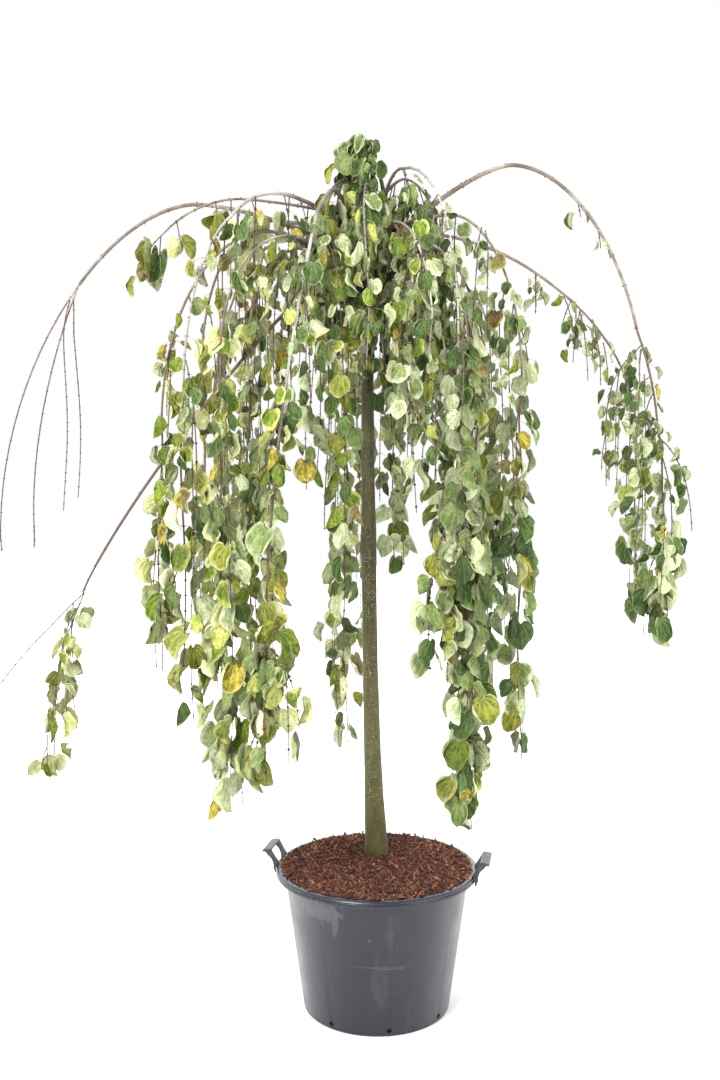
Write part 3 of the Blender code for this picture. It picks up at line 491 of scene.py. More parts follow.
steps = round((TREE_HEIGHT - TRUNK_FOOT.z + 0.006) / TRUNK_STEP)
heights = [TRUNK_FOOT.z - 0.006 + (TREE_HEIGHT - TRUNK_FOOT.z + 0.006) * n / steps for n in range(steps + 1)]
trunk_points, trunk_faces = sweep([trunk_centre(h) for h in heights], [trunk_radius(h) for h in heights], TRUNK_SIDES)
for index, point in enumerate(trunk_points):
    height = point[2]
    centre = trunk_centre(height)
    outward = Vector((point[0] - centre.x, point[1] - centre.y, 0.0))
    radius = max(outward.length, 0.001)
    around = math.atan2(outward.y, outward.x)
    # Broad swellings, long shallow ribs near the root flare, and fine grain
    swell = 0.05 * noise.noise(Vector((outward.x * 20, outward.y * 20, height * 9)))
    swell += GRAFT_SWELL * math.exp(-((height - GRAFT_HEIGHT) / GRAFT_LENGTH) ** 2)
    rib = 0.10 * math.cos(around * 5 + 0.7) * math.exp(-(height - TRUNK_FOOT.z) / 0.05)
    grain = 0.02 * noise.noise(Vector((outward.x * 90, outward.y * 90, height * 30)))
    trunk_points[index][:2] += np.array(outward[:2]) * (swell + rib + grain)
bark, tree, shader = new_material("trunk bark")
place = object_place(tree)
grain_place = object_place(tree, (1.0, 1.0, 0.12))
height_value = tree.nodes.new("ShaderNodeSeparateXYZ")
tree.links.new(place, height_value.inputs["Vector"])
rise = tree.nodes.new("ShaderNodeMapRange")
rise.inputs["From Min"].default_value = SOIL_TOP
rise.inputs["From Max"].default_value = HEAD_HEIGHT
tree.links.new(height_value.outputs["Z"], rise.inputs["Value"])
ground = add_ramp(tree, rise.outputs["Result"],
                  [(0.0, (0.060, 0.055, 0.012)), (0.10, (0.076, 0.068, 0.016)), (0.24, (0.086, 0.077, 0.020)),
                   (0.40, (0.052, 0.048, 0.017)), (0.52, (0.040, 0.038, 0.016)), (1.0, (0.045, 0.037, 0.024))])
streaks = add_ramp(tree, add_noise(tree, grain_place, 90.0, 6.0, 0.65), [(0.35, 0.0), (0.75, 0.7)])
toned = add_mix(tree, streaks, ground, (0.150, 0.135, 0.045))
blotches = add_ramp(tree, add_noise(tree, place, 26.0, 5.0, 0.65), [(0.48, 0.0), (0.70, 0.6)])
toned = add_mix(tree, blotches, toned, (0.038, 0.034, 0.012))
# Lenticels: short pale dashes in loose bands, and larger scuffs of loose grey skin
bands = add_ramp(tree, add_noise(tree, place, 11.0, 2.0), [(0.36, 0.25), (0.60, 1.0)])
corks = (0.0, 0.0, 0.0)
for lens_scale, flat_scale, reach in ((105.0, 2.6, 0.30), (62.0, 1.8, 0.20), (170.0, 1.4, 0.34)):
    lenses = tree.nodes.new("ShaderNodeTexVoronoi")
    lenses.inputs["Scale"].default_value = lens_scale
    tree.links.new(object_place(tree, (1.0, 1.0, flat_scale)), lenses.inputs["Vector"])
    dashes = add_ramp(tree, lenses.outputs["Distance"], [(reach * 0.55, 1.0), (reach, 0.0)])
    # Only some cells hold a lenticel: the cell's own random colour tells which
    chosen = tree.nodes.new("ShaderNodeSeparateXYZ")
    tree.links.new(lenses.outputs["Color"], chosen.inputs["Vector"])
    held = add_ramp(tree, chosen.outputs["X"], [(0.50, 0.0), (0.56, 1.0)])
    lighter = tree.nodes.new("ShaderNodeMix")
    lighter.data_type = "RGBA"
    lighter.blend_type = "LIGHTEN"
    lighter.inputs[0].default_value = 1.0
    tree.links.new(add_mix(tree, held, (0.0, 0.0, 0.0), dashes), lighter.inputs[7])
    if isinstance(corks, tuple):
        lighter.inputs[6].default_value = (*corks, 1.0)
    else:
        tree.links.new(corks, lighter.inputs[6])
    corks = lighter.outputs[2]
corks = add_mix(tree, bands, (0.0, 0.0, 0.0), corks)
common = add_ramp(tree, rise.outputs["Result"], [(0.02, 0.0), (0.10, 0.7), (0.48, 0.9), (0.60, 0.4)])
corks = add_mix(tree, common, (0.0, 0.0, 0.0), corks)
toned = add_mix(tree, corks, toned, (0.450, 0.430, 0.300))
tree.links.new(toned, shader.inputs["Base Color"])
shader.inputs["Roughness"].default_value = 0.72
relief = add_mix(tree, 0.5, streaks, corks)
add_bump(tree, shader, relief, 0.0012)
trunk = mesh_piece("trunk_stem", trunk_points, trunk_faces, bark)
trunk.data.shade_smooth()
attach(trunk, "root")
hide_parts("trunk")

# The boughs. Young limbs that arch out of the trunk's head and weep: grey-brown to
# silver bark, with a pair of buds or short spurs every few centimetres.
# azimuth: degrees from +X, anticlockwise seen from above. foot: height on the
# trunk. crest and tip: reach from the trunk and height. bow: 2 is a quarter
# ellipse, less is straighter. bare: share of the fall before its foliage starts.
Bough = namedtuple(
    "Bough", "name azimuth foot crest_reach crest tip_reach tip bow radius bare sway")
BOUGHS = (
    Bough("left_arch", 183, 2.200, 0.50, 2.355, 1.06, 1.44, 1.80, 0.0080, 0.44, 0.02),
    Bough("left_low", 172, 2.035, 0.16, 2.125, 0.885, 1.21, 1.12, 0.0085, 1.0, -0.02),
    Bough("left_short", 196, 2.305, 0.37, 2.350, 0.64, 2.12, 1.8, 0.0050, 0.6, 0.01),
    Bough("left_outer", 200, 2.130, 0.30, 2.260, 0.545, 1.72, 2.0, 0.0070, 0.1, 0.01),
    Bough("left_inner", 186, 2.085, 0.20, 2.230, 0.35, 1.92, 2.0, 0.0065, 0.0, 0.02),
    Bough("front_left", 212, 2.258, 0.27, 2.352, 0.562, 1.74, 2.3, 0.0080, 0.35, -0.01),
    Bough("front_left_inner", 220, 2.060, 0.26, 2.230, 0.48, 1.84, 2.0, 0.0065, 0.0, 0.01),
    Bough("crown_left", 228, 2.376, 0.09, 2.410, 0.22, 2.10, 2.0, 0.0055, 0.0, 0.0),
    Bough("front_stout", 237, 2.205, 0.17, 2.365, 0.53, 1.20, 1.55, 0.0090, 0.2, 0.0),
    Bough("front_centre", 270, 2.310, 0.12, 2.385, 0.25, 2.10, 2.0, 0.0060, 0.0, 0.01),
    Bough("front_right_inner", 292, 2.140, 0.17, 2.270, 0.32, 2.00, 2.0, 0.0060, 0.0, 0.01),
    Bough("front_right", 308, 2.350, 0.145, 2.430, 0.39, 1.85, 2.2, 0.0055, 0.35, -0.01),
    Bough("crown_right", 350, 2.390, 0.105, 2.430, 0.23, 2.10, 2.0, 0.0055, 0.0, 0.0),
    Bough("right_long", 318, 2.080, 0.22, 2.210, 0.36, 1.86, 2.0, 0.0065, 0.0, 0.02),
    Bough("right_tress", 340, 2.275, 0.25, 2.310, 0.48, 1.82, 2.0, 0.0065, 0.0, -0.02),
    Bough("right_arch", 0, 2.190, 0.42, 2.476, 0.825, 1.73, 1.88, 0.0085, 0.75, 0.01),
    Bough("right_inner", 10, 2.040, 0.21, 2.170, 0.32, 1.88, 2.0, 0.0060, 0.0, 0.01),
    Bough("right_second", 22, 2.243, 0.22, 2.295, 0.93, 1.72, 1.80, 0.0075, 0.41, 0.02),
    Bough("back_right", 45, 2.120, 0.28, 2.310, 0.58, 1.88, 2.0, 0.0075, 0.0, -0.02),
    Bough("back_right_inner", 76, 2.295, 0.16, 2.380, 0.38, 1.95, 2.0, 0.0060, 0.0, 0.01),
    Bough("back_centre", 98, 2.160, 0.26, 2.330, 0.50, 1.88, 2.0, 0.0075, 0.0, 0.02),
    Bough("back_left_inner", 111, 2.345, 0.18, 2.400, 0.36, 2.00, 2.0, 0.0060, 0.0, -0.01),
    Bough("back_left", 146, 2.105, 0.32, 2.300, 0.60, 1.85, 2.0, 0.0075, 0.0, 0.02),
    Bough("leader", 195, 2.535, 0.02, 2.562, 0.045, 2.51, 2.0, 0.0045, 0.0, 0.0),
    Bough("left_back", 158, 2.245, 0.32, 2.345, 0.56, 1.88, 2.0, 0.0075, 0.0, -0.01),
)
RISE_BOW = 1.5
LIMB_TAPER = 0.62
LIMB_STEP = 0.02


def heading(azimuth):
    """Unit vectors away from the trunk and to the side, for a compass turn."""
    turn = math.radians(azimuth)
    out = Vector((math.cos(turn), math.sin(turn), 0.0))
    return out, Vector((-out.y, out.x, 0.0))


def arch_axis(bough):
    """The middle that a bough's reach is measured from: the head, or the leader's tip."""
    return trunk_centre(TREE_HEIGHT if bough.foot >= TREE_HEIGHT else HEAD_HEIGHT)


def arch_point(bough, share):
    """A point of the bough's arch: share 0 at the trunk, 1 at its crest, 2 at its tip."""
    out, side = heading(bough.azimuth)
    if share <= 1.0:
        reach = bough.crest_reach * share
        height = bough.crest - (bough.crest - bough.foot) * (1.0 - share) ** RISE_BOW
        base = trunk_centre(bough.foot).lerp(arch_axis(bough), share)
    else:
        angle = (share - 1.0) * math.pi / 2
        power = 2.0 / bough.bow
        across = math.sin(angle) ** power
        drop = 1.0 - max(0.0, math.cos(angle)) ** power
        reach = bough.crest_reach + (bough.tip_reach - bough.crest_reach) * across
        height = bough.crest - (bough.crest - bough.tip) * drop
        base = arch_axis(bough)
    sway = bough.sway * math.sin(share * math.pi)
    place = base + out * reach + side * sway
    return Vector((place.x, place.y, height))


def limb_radius(bough, share):
    """The bough's even taper from its foot to its tip."""
    return bough.radius * (1.0 - LIMB_TAPER * share / 2.0)


def arch_route(bough, first, last):
    """Finely spaced points and shares of the arch between two shares of it."""
    coarse = [arch_point(bough, first + (last - first) * n / 40) for n in range(41)]
    length = sum((b - a).length for a, b in zip(coarse, coarse[1:]))
    steps = max(3, round(length / LIMB_STEP))
    shares = [first + (last - first) * n / steps for n in range(steps + 1)]
    return [arch_point(bough, share) for share in shares], shares


PALE_BOUGHS = (
    "front_left", "front_stout", "front_centre", "front_right", "front_right_inner")
bough_tubes = {"pale": [], "brown": []}
bough_nodes = {"pale": [], "brown": []}
for bough in BOUGHS:
    if bough.foot >= TREE_HEIGHT:
        continue
    points, shares = arch_route(bough, 0.0, 1.0 + bough.bare)
    radii = [limb_radius(bough, share) * (1.0 + 0.35 * math.exp(-share / 0.12)) for share in shares]
    bark_kind = "pale" if bough.name in PALE_BOUGHS else "brown"
    bough_tubes[bark_kind].append(sweep(points, radii, 10))
    parts = ("_rise", "_fall") if "bough_" + bough.name + "_rise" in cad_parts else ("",)
    bough_nodes[bark_kind] += ["bough_" + bough.name + part for part in parts]
BARK_TONES = {
    "pale": ((0.230, 0.210, 0.190), (0.400, 0.375, 0.345), (0.560, 0.540, 0.510)),
    "brown": ((0.110, 0.078, 0.058), (0.230, 0.185, 0.150), (0.430, 0.390, 0.340)),
}
# Heights between which the bark turns from its grown skin to the year's brown
YOUNG_WOOD = {"pale": (1.90, 1.60), "brown": (2.15, 1.70)}
bough_barks = {}
for bark_kind, (dark, middle, light) in BARK_TONES.items():
    bough_bark, tree, shader = new_material(bark_kind + " bough bark")
    place = object_place(tree)
    patches = add_ramp(tree, add_noise(tree, place, 12.0, 4.0, 0.6), [(0.35, dark), (0.55, middle), (0.72, light)])
    specks = add_ramp(tree, add_noise(tree, place, 260.0, 3.0, 0.7), [(0.58, 0.0), (0.75, 0.7)])
    toned = add_mix(tree, specks, patches, (0.060, 0.045, 0.038))
    # The grey skin begins clear of the head and ends where the year's growth begins
    heart = tree.nodes.new("ShaderNodeVectorMath")
    heart.operation = "LENGTH"
    tree.links.new(object_place(tree, (1.0, 1.0, 0.0), (-0.05, 0.03, 0.0)), heart.inputs[0])
    old_wood = add_ramp(tree, heart.outputs["Value"], [(0.17, 0.90), (0.30, 0.0)])
    toned = add_mix(tree, old_wood, toned, (0.085, 0.064, 0.050))
    height_value = tree.nodes.new("ShaderNodeSeparateXYZ")
    tree.links.new(place, height_value.inputs["Vector"])
    youth = tree.nodes.new("ShaderNodeMapRange")
    youth.inputs["From Min"].default_value = YOUNG_WOOD[bark_kind][0]
    youth.inputs["From Max"].default_value = YOUNG_WOOD[bark_kind][1]
    tree.links.new(height_value.outputs["Z"], youth.inputs["Value"])
    toned = add_mix(tree, youth.outputs["Result"], toned, (0.120, 0.075, 0.060))
    tree.links.new(toned, shader.inputs["Base Color"])
    shader.inputs["Roughness"].default_value = 0.7
    add_bump(tree, shader, add_noise(tree, place, 180.0, 4.0), 0.0006)
    bough_barks[bark_kind] = bough_bark

# The hanging twigs. Each mass of foliage hangs from one stem that carries on its
# bough's arch, with tresses beside it, and here also the finer twigs between them.
# hem: height of its lowest twig. out, side: how far that drifts, and swing the
# length in which it does. drape: how far towards the hem the first tress hangs.
# fine: number of finer twigs. short: number of short shoots along its bough, from
# the share first_short on. low: number of side twigs on its hanging stem.
# leaf: size of its topmost leaves, 1 as usual.
# thin: share of its leaves that have fallen, on the left only above FULL_FOOT.
Mass = namedtuple("Mass", "name bough hem out side swing tresses spread drape seed fine short low first_short leaf thin")
MASSES = (
    Mass("left_arch_outer_twigs", "left_arch", 1.34, 0.02, -0.03, 0.5, 2, 0.05, 0.9, 21, 0, 0, 0, 0.25, 1.00, 0.00),
    Mass("left_arch_inner_twigs", "left_arch", 1.36, -0.11, 0.03, 0.4, 2, 0.02, 0.8, 22, 0, 0, 0, 0.25, 1.00, 0.00),
    Mass("left_low_foliage", "left_low", 0.64, 0.15, -0.03, 0.3, 3, 0.10, 0.7, 23, 1, 0, 1, 0.25, 1.05, 0.35),
    Mass("left_low_twigs", "left_low", 0.86, 0.60, 0.04, 0.50, 1, 0.05, 0.9, 24, 0, 0, 0, 0.25, 1.00, 0.00),
    Mass("left_short_foliage", "left_short", 2.10, 0.02, 0.0, 0.1, 1, 0.03, 0.9, 25, 0, 6, 0, 0.90, 1.35, 0.15),
    Mass("left_outer_foliage", "left_outer", 1.02, 0.07, 0.0, 0.3, 3, 0.06, 0.5, 26, 0, 6, 1, 0.40, 0.88, 0.52),
    Mass("left_inner_foliage", "left_inner", 0.90, 0.0, 0.0, 0.1, 3, 0.08, 0.5, 27, 2, 5, 3, 0.25, 0.88, 0.45),
    Mass("front_left_foliage", "front_left", 1.05, 0.02, 0.0, 0.1, 3, 0.08, 0.8, 28, 0, 12, 1, 0.50, 0.90, 0.55),
    Mass("front_left_inner_foliage", "front_left_inner", 0.66, 0.03, 0.0, 0.1, 3, 0.07, 0.5, 29, 2, 4, 3, 0.25, 0.90, 0.45),
    Mass("crown_left_foliage", "crown_left", 1.85, 0.0, 0.0, 0.1, 2, 0.08, 0.9, 30, 4, 4, 0, 0.25, 1.12, 0.12),
    Mass("front_stout_foliage", "front_stout", 0.76, -0.02, 0.02, 0.2, 4, 0.10, 0.9, 31, 2, 3, 5, 0.40, 1.00, 0.30),
    Mass("front_centre_foliage", "front_centre", 1.86, 0.0, 0.0, 0.1, 2, 0.07, 0.9, 32, 3, 4, 0, 0.25, 1.18, 0.12),
    Mass("front_right_inner_foliage", "front_right_inner", 1.55, 0.02, 0.05, 0.1, 3, 0.07, 0.9, 33, 2, 5, 0, 0.25, 0.95, 0.20),
    Mass("front_right_foliage", "front_right", 0.98, 0.0, 0.0, 0.1, 3, 0.09, 0.65, 34, 2, 4, 3, 0.60, 0.90, 0.36),
    Mass("crown_right_foliage", "crown_right", 1.85, 0.0, 0.0, 0.1, 2, 0.08, 0.9, 35, 3, 4, 0, 0.25, 1.12, 0.12),
    Mass("right_long_foliage", "right_long", 0.59, 0.02, 0.0, 0.1, 3, 0.05, 0.4, 36, 2, 5, 5, 0.25, 0.88, 0.40),
    Mass("right_tress_foliage", "right_tress", 0.76, -0.02, 0.0, 0.1, 3, 0.04, 0.45, 37, 2, 5, 1, 0.25, 0.88, 0.40),
    Mass("right_arch_foliage", "right_arch", 1.08, 0.09, 0.0, 0.6, 4, 0.13, 0.45, 4, 6, 8, 2, 1.22, 0.78, 0.38),
    Mass("right_inner_foliage", "right_inner", 0.90, 0.0, 0.0, 0.1, 3, 0.08, 0.6, 39, 2, 4, 1, 0.25, 0.88, 0.20),
    Mass("right_second_foliage", "right_second", 1.10, 0.03, 0.0, 0.3, 4, 0.06, 0.15, 40, 3, 10, 1, 1.22, 0.76, 0.42),
    Mass("back_right_foliage", "back_right", 0.90, 0.0, 0.0, 0.1, 4, 0.11, 0.5, 41, 3, 5, 1, 0.25, 0.88, 0.30),
    Mass("back_right_inner_foliage", "back_right_inner", 1.25, 0.0, 0.0, 0.1, 3, 0.05, 0.7, 42, 3, 5, 0, 0.25, 0.88, 0.30),
    Mass("back_centre_foliage", "back_centre", 0.60, 0.0, 0.0, 0.1, 3, 0.05, 0.7, 43, 4, 6, 2, 0.25, 0.88, 0.58),
    Mass("back_left_inner_foliage", "back_left_inner", 1.40, 0.0, 0.0, 0.1, 3, 0.06, 0.8, 44, 3, 5, 0, 0.25, 0.88, 0.65),
    Mass("back_left_foliage", "back_left", 0.86, 0.0, 0.0, 0.1, 4, 0.08, 0.5, 45, 1, 6, 0, 0.50, 0.88, 0.60),
    Mass("apex_foliage", "leader", 2.35, 0.0, 0.0, 0.1, 4, 0.11, 0.6, 46, 12, 0, 0, 0.25, 1.05, 0.05),
    Mass("left_back_foliage", "left_back", 1.08, 0.0, 0.0, 0.1, 3, 0.09, 0.6, 47, 1, 9, 0, 0.50, 0.88, 0.55),
)
GAP = 0.0003
JOINT = 0.006
ARCH_STEPS = 5
TWIG_STEP = 0.20
FINE_STEP = 0.025
FIRST_TRESS = 1.2
LAST_TRESS = 1.8
BEND_DROP = 0.08
TWIG_SWAY = 0.007
SWAY_LENGTH = 0.11
SWAY_START = 0.10
RAGGED = 0.15
FULL_TURN = 2 * math.pi
STEM_SHARE = 0.9
FORK_SHARE = 0.6
STEM_TIP = 0.0016
TRESS_RADIUS = 0.0021
TRESS_TIP = 0.0013
FINE_RADIUS = 0.0019
LOW_REACH = 0.05
TOP_SPREAD = 0.6
Shoot = namedtuple("Shoot", "points radii mass")


def twig_sway(fallen, out, side, phase):
    """The slow wander of a hanging twig, none at its start."""
    settled = min(fallen / SWAY_START, 1.0) * TWIG_SWAY
    turn = fallen / SWAY_LENGTH + phase
    return (out * math.sin(turn) + side * math.cos(turn * 0.8)) * settled


def hanging_twig(start, out, side, hem, reach, swing, phase):
    """Points of a twig that hangs from its start down to the hem height."""
    drop = start.z - hem
    steps = max(4, round(drop / FINE_STEP))
    points = []
    for step in range(steps + 1):
        fallen = drop * step / steps
        ease = 1.0 - math.exp(-fallen / swing)
        across = out * reach[0] * ease + side * reach[1] * ease
        points.append(start + across + twig_sway(fallen, out, side, phase) - Vector((0, 0, fallen)))
    return points


def mass_stem(mass, bough, forks, phase, arch_steps, step_length):
    """The stem that carries on the bough's arch and then hangs, and its first run."""
    out, side = heading(bough.azimuth)
    first = 1.0 + bough.bare
    start = arch_point(bough, first)
    if bough.foot >= TREE_HEIGHT:
        first = 0.5
        start = trunk_centre(TREE_HEIGHT)
    direction = (arch_point(bough, first + 0.01) - arch_point(bough, first)).normalized()
    stem = [start, start + direction * JOINT]
    steps = round((2.0 - first) * arch_steps)
    for step in range(1, steps + 1):
        stem.append(arch_point(bough, first + (2.0 - first) * step / steps))
    run = len(stem)
    steps = max(1, round((stem[-1].z - mass.hem) / step_length))
    top = stem[-1]
    for step in range(1, steps + 1):
        fallen = (top.z - mass.hem) * step / steps
        stem.append(top + twig_sway(fallen, out, side, phase) - Vector((0, 0, fallen)))
    gone = 0.0
    drifted = stem[:2]
    for near, far in zip(stem[1:], stem[2:]):
        gone += (far - near).length
        ease = 1.0 - math.exp(-gone / mass.swing)
        drifted.append(far + out * mass.out * ease + side * mass.side * ease)
    return drifted, run


def tapering(points, first, last):
    """Radii that fall evenly along a twig."""
    count = len(points) - 1
    return [first + (last - first) * n / count for n in range(count + 1)]


def mass_shoots(mass, bough, forks):
    """The stem and tresses of a mass by the source's dice, then its finer twigs."""
    dice = random.Random(mass.seed)
    out, side = heading(bough.azimuth)
    phase = dice.uniform(0.0, FULL_TURN)
    stem, run = mass_stem(mass, bough, forks, phase, ARCH_STEPS, TWIG_STEP)
    fine_stem, _run = mass_stem(mass, bough, forks, phase, 24, FINE_STEP)
    share = STEM_SHARE if forks == 1 else FORK_SHARE
    first = limb_radius(bough, 1.0 + bough.bare) * share
    shoots = [Shoot(fine_stem, tapering(fine_stem, first, STEM_TIP), mass)]
    for tress in range(mass.tresses):
        order = tress / max(mass.tresses - 1, 1)
        where = min(FIRST_TRESS + (run - 0.5) * order, len(stem) - LAST_TRESS)
        index = int(where)
        place = stem[index].lerp(stem[index + 1], where - index)
        hand = 1.0 if (tress + mass.seed) % 2 else -1.0
        reach = (dice.uniform(-0.4, 0.5) * mass.spread, hand * mass.spread * dice.uniform(0.6, 1.0))
        share = mass.drape + (1.0 - mass.drape) * order
        share *= dice.uniform(1.0 - RAGGED, 1.0)
        hem = place.z - (place.z - mass.hem) * share
        phase = dice.uniform(0.0, FULL_TURN)
        points = hanging_twig(place, out, side, hem, reach, BEND_DROP, phase)
        shoots.append(Shoot(points, tapering(points, TRESS_RADIUS, TRESS_TIP), mass))
    dice = random.Random(mass.seed + 500)
    arch_points = round((1.0 - bough.bare) * 24) + 2
    for twig in range(mass.fine):
        index = dice.randrange(2, min(len(fine_stem) - 3, arch_points + 4))
        place = fine_stem[index]
        hand = 1.0 if twig % 2 else -1.0
        spread = mass.spread * (TOP_SPREAD if bough.foot >= TREE_HEIGHT else 1.0)
        reach = (dice.uniform(-0.9, 0.9) * spread, hand * spread * dice.uniform(0.2, 1.1))
        share = mass.drape + (1.0 - mass.drape) * min(index / arch_points, 1.0)
        hem = place.z - (place.z - mass.hem) * share * dice.uniform(0.45, 0.97)
        if place.z - hem < 0.05:
            continue
        points = hanging_twig(place, out, side, hem, reach, BEND_DROP, dice.uniform(0.0, FULL_TURN))
        shoots.append(Shoot(points, tapering(points, FINE_RADIUS, TRESS_TIP), mass))
    for twig in range(mass.short):
        place = arch_point(bough, dice.uniform(mass.first_short, 1.0 + bough.bare + 0.3))
        reach = (dice.uniform(-0.3, 0.3) * 0.1, dice.uniform(-1.0, 1.0) * 0.07)
        hem = place.z - dice.uniform(0.10, 0.45) * (0.25 if bough.bare > 0.5 else 0.5 if bough.bare > 0.3 else 1.0)
        points = hanging_twig(place, out, side, hem, reach, BEND_DROP, dice.uniform(0.0, FULL_TURN))
        shoots.append(Shoot(points, tapering(points, FINE_RADIUS, TRESS_TIP), mass))
    for twig in range(mass.low):
        carrier = shoots[dice.choice((0, 0, mass.tresses))]
        index = round(len(carrier.points) * dice.uniform(0.25, 0.82))
        place = carrier.points[index]
        reach = (dice.uniform(-1.0, 1.0) * LOW_REACH, dice.uniform(-1.0, 1.0) * LOW_REACH)
        hem = max(place.z - dice.uniform(0.12, 0.45), mass.hem + dice.uniform(0.0, 0.06))
        if place.z - hem < 0.05:
            continue
        points = hanging_twig(place, out, side, hem, reach, BEND_DROP, dice.uniform(0.0, FULL_TURN))
        shoots.append(Shoot(points, tapering(points, FINE_RADIUS, TRESS_TIP), mass))
    return shoots


by_name = {bough.name: bough for bough in BOUGHS}
carried = [mass.bough for mass in MASSES]
shoots = []
for mass in MASSES:
    shoots += mass_shoots(mass, by_name[mass.bough], carried.count(mass.bough))
twig_bark, tree, shader = new_material("twig bark")
place = object_place(tree)
twig_tone = add_ramp(tree, add_noise(tree, place, 16.0, 4.0, 0.6),
                     [(0.35, (0.060, 0.034, 0.028)), (0.60, (0.120, 0.080, 0.064)), (0.80, (0.260, 0.205, 0.160))])
tree.links.new(twig_tone, shader.inputs["Base Color"])
shader.inputs["Roughness"].default_value = 0.65
add_bump(tree, shader, add_noise(tree, place, 300.0, 3.0), 0.0004)
brown_twigs = []
for shoot in shoots:
    stem = shoot.radii[0] > TRESS_RADIUS
    tube = sweep(shoot.points, shoot.radii, 6 if stem else 5)
    bark_kind = "pale" if shoot.mass.bough in PALE_BOUGHS else "brown"
    (bough_tubes[bark_kind] if stem else brown_twigs).append(tube)
twigs = joined_tubes("hanging_twigs", brown_twigs, twig_bark)
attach(twigs, "root")
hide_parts(*[mass.name for mass in MASSES])
for bark_kind, tubes in bough_tubes.items():
    boughs = joined_tubes("boughs_" + bark_kind, tubes, bough_barks[bark_kind])
    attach(boughs, "root")
    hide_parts(*bough_nodes[bark_kind])

# The leaves. Round hearts with a shallow notch at the stalk and a scalloped edge,
# in opposite pairs down the twigs: dark to fresh green above, bloomed grey-green
# underneath, and on the weather side turning straw yellow with browned edges.
NODE_STEP = 0.048
LEAF_SIZES = (0.032, 0.076)
LEAF_NARROW = (0.78, 1.06)
SMALL_GAIN = 0.014
FULL_GROWTH = 1.26
FAR_RIGHT = 0.55
FAR_FOOT = 1.50
FAR_GROWTH = 1.6
GROWTH_DROP = 0.9
LEAF_THICK = 0.006
LEAF_SECTORS = 20
LEAF_RINGS = (0.78, 1.0)
HEART_TURNS = (0, 15, 30, 60, 90, 120, 150, 166, 180)
HEART_REACHES = (0.57, 0.545, 0.52, 0.49, 0.475, 0.475, 0.46, 0.41, 0.31)
HEART_CENTRE = 0.33
SCALLOP = 0.02
LAP_WIDTH = 0.42
LAP_RISE = 0.07
STALK = (0.014, 0.034)
STALK_RADIUS = 0.0007
LEFT_SIDE = -0.2
FULL_FOOT = 1.52
FULL_THIN = 0.26
BARE_STEP = 0.032
BARE_ENDS = (0.0, 0.10)
THIN_ENDS = (0.10, 0.30)
PIECE_FACES = 190000
# How each pattern of leaf is bent. fold: degrees down on each side of the midrib.
# roll: across, curl: along, in radians over the blade. twist: degrees, base to tip.
# lap: how far the rim has rolled up over the blade, around the turn lap_turn.
Bend = namedtuple("Bend", "fold roll curl twist wave lap lap_turn")
BENDS = (
    Bend(8, 0.3, 0.6, 10, 0.03, 0.9, 70),
    Bend(24, 0.2, 1.0, 14, 0.03, 0.0, 0),
    Bend(40, 0.0, 0.7, -20, 0.04, 0.7, -80),
    Bend(60, -0.2, 0.9, 18, 0.04, 0.0, 0),
    Bend(-18, 0.0, 1.1, -12, 0.03, 1.0, 100),
    Bend(-36, 0.4, 1.4, -25, 0.05, 0.8, -60),
    Bend(-58, -0.3, 0.9, 24, 0.05, 0.0, 0),
    Bend(30, 1.9, 2.0, 40, 0.08, 0.6, 20),
    Bend(-10, -1.8, 1.2, -35, 0.05, 0.0, 0),
    Bend(74, 0.0, 1.2, -12, 0.03, 0.0, 0),
)
BEND_SHARES = (0.13, 0.13, 0.14, 0.13, 0.11, 0.10, 0.08, 0.05, 0.07, 0.06)
# Each tint is the blade's tone, then its blotch tone. On the dark, fresh and mid greens the blotch tone is lighter and
# greyer: blotching and painted sheen together.
TINTS = {
    "dark": ((0.032, 0.068, 0.015), (0.070, 0.116, 0.032)),
    "fresh": ((0.068, 0.120, 0.008), (0.155, 0.205, 0.022)),
    "mid": ((0.100, 0.150, 0.040), (0.190, 0.240, 0.085)),
    "olive": ((0.205, 0.212, 0.030), (0.100, 0.122, 0.014)),
    "pale": ((0.385, 0.430, 0.260), (0.215, 0.270, 0.115)),
    "lime": ((0.380, 0.385, 0.110), (0.200, 0.245, 0.040)),
    "straw": ((0.600, 0.600, 0.380), (0.430, 0.440, 0.190)),
    "gold": ((0.440, 0.360, 0.050), (0.190, 0.170, 0.022)),
    "brown": ((0.105, 0.075, 0.030), (0.200, 0.170, 0.055)),
    "under": ((0.430, 0.468, 0.290), (0.285, 0.330, 0.160)),
    "under_straw": ((0.520, 0.545, 0.280), (0.360, 0.390, 0.140)),
}
GREEN_SIDE = {
    "dark": 0.38, "fresh": 0.04, "mid": 0.34, "olive": 0.11, "pale": 0.09, "lime": 0.01, "straw": 0.01,
    "gold": 0.01, "brown": 0.01}
YELLOW_SIDE = {
    "dark": 0.08, "fresh": 0.26, "mid": 0.10, "olive": 0.20, "pale": 0.10, "lime": 0.13, "straw": 0.05,
    "gold": 0.06, "brown": 0.03}
RIM_TINTS = {"dark": "mid", "fresh": "lime", "mid": "pale", "olive": "lime", "pale": "straw", "lime": "fresh",
             "straw": "olive", "gold": "brown", "brown": "gold", "under": "under_straw", "under_straw": "straw"}


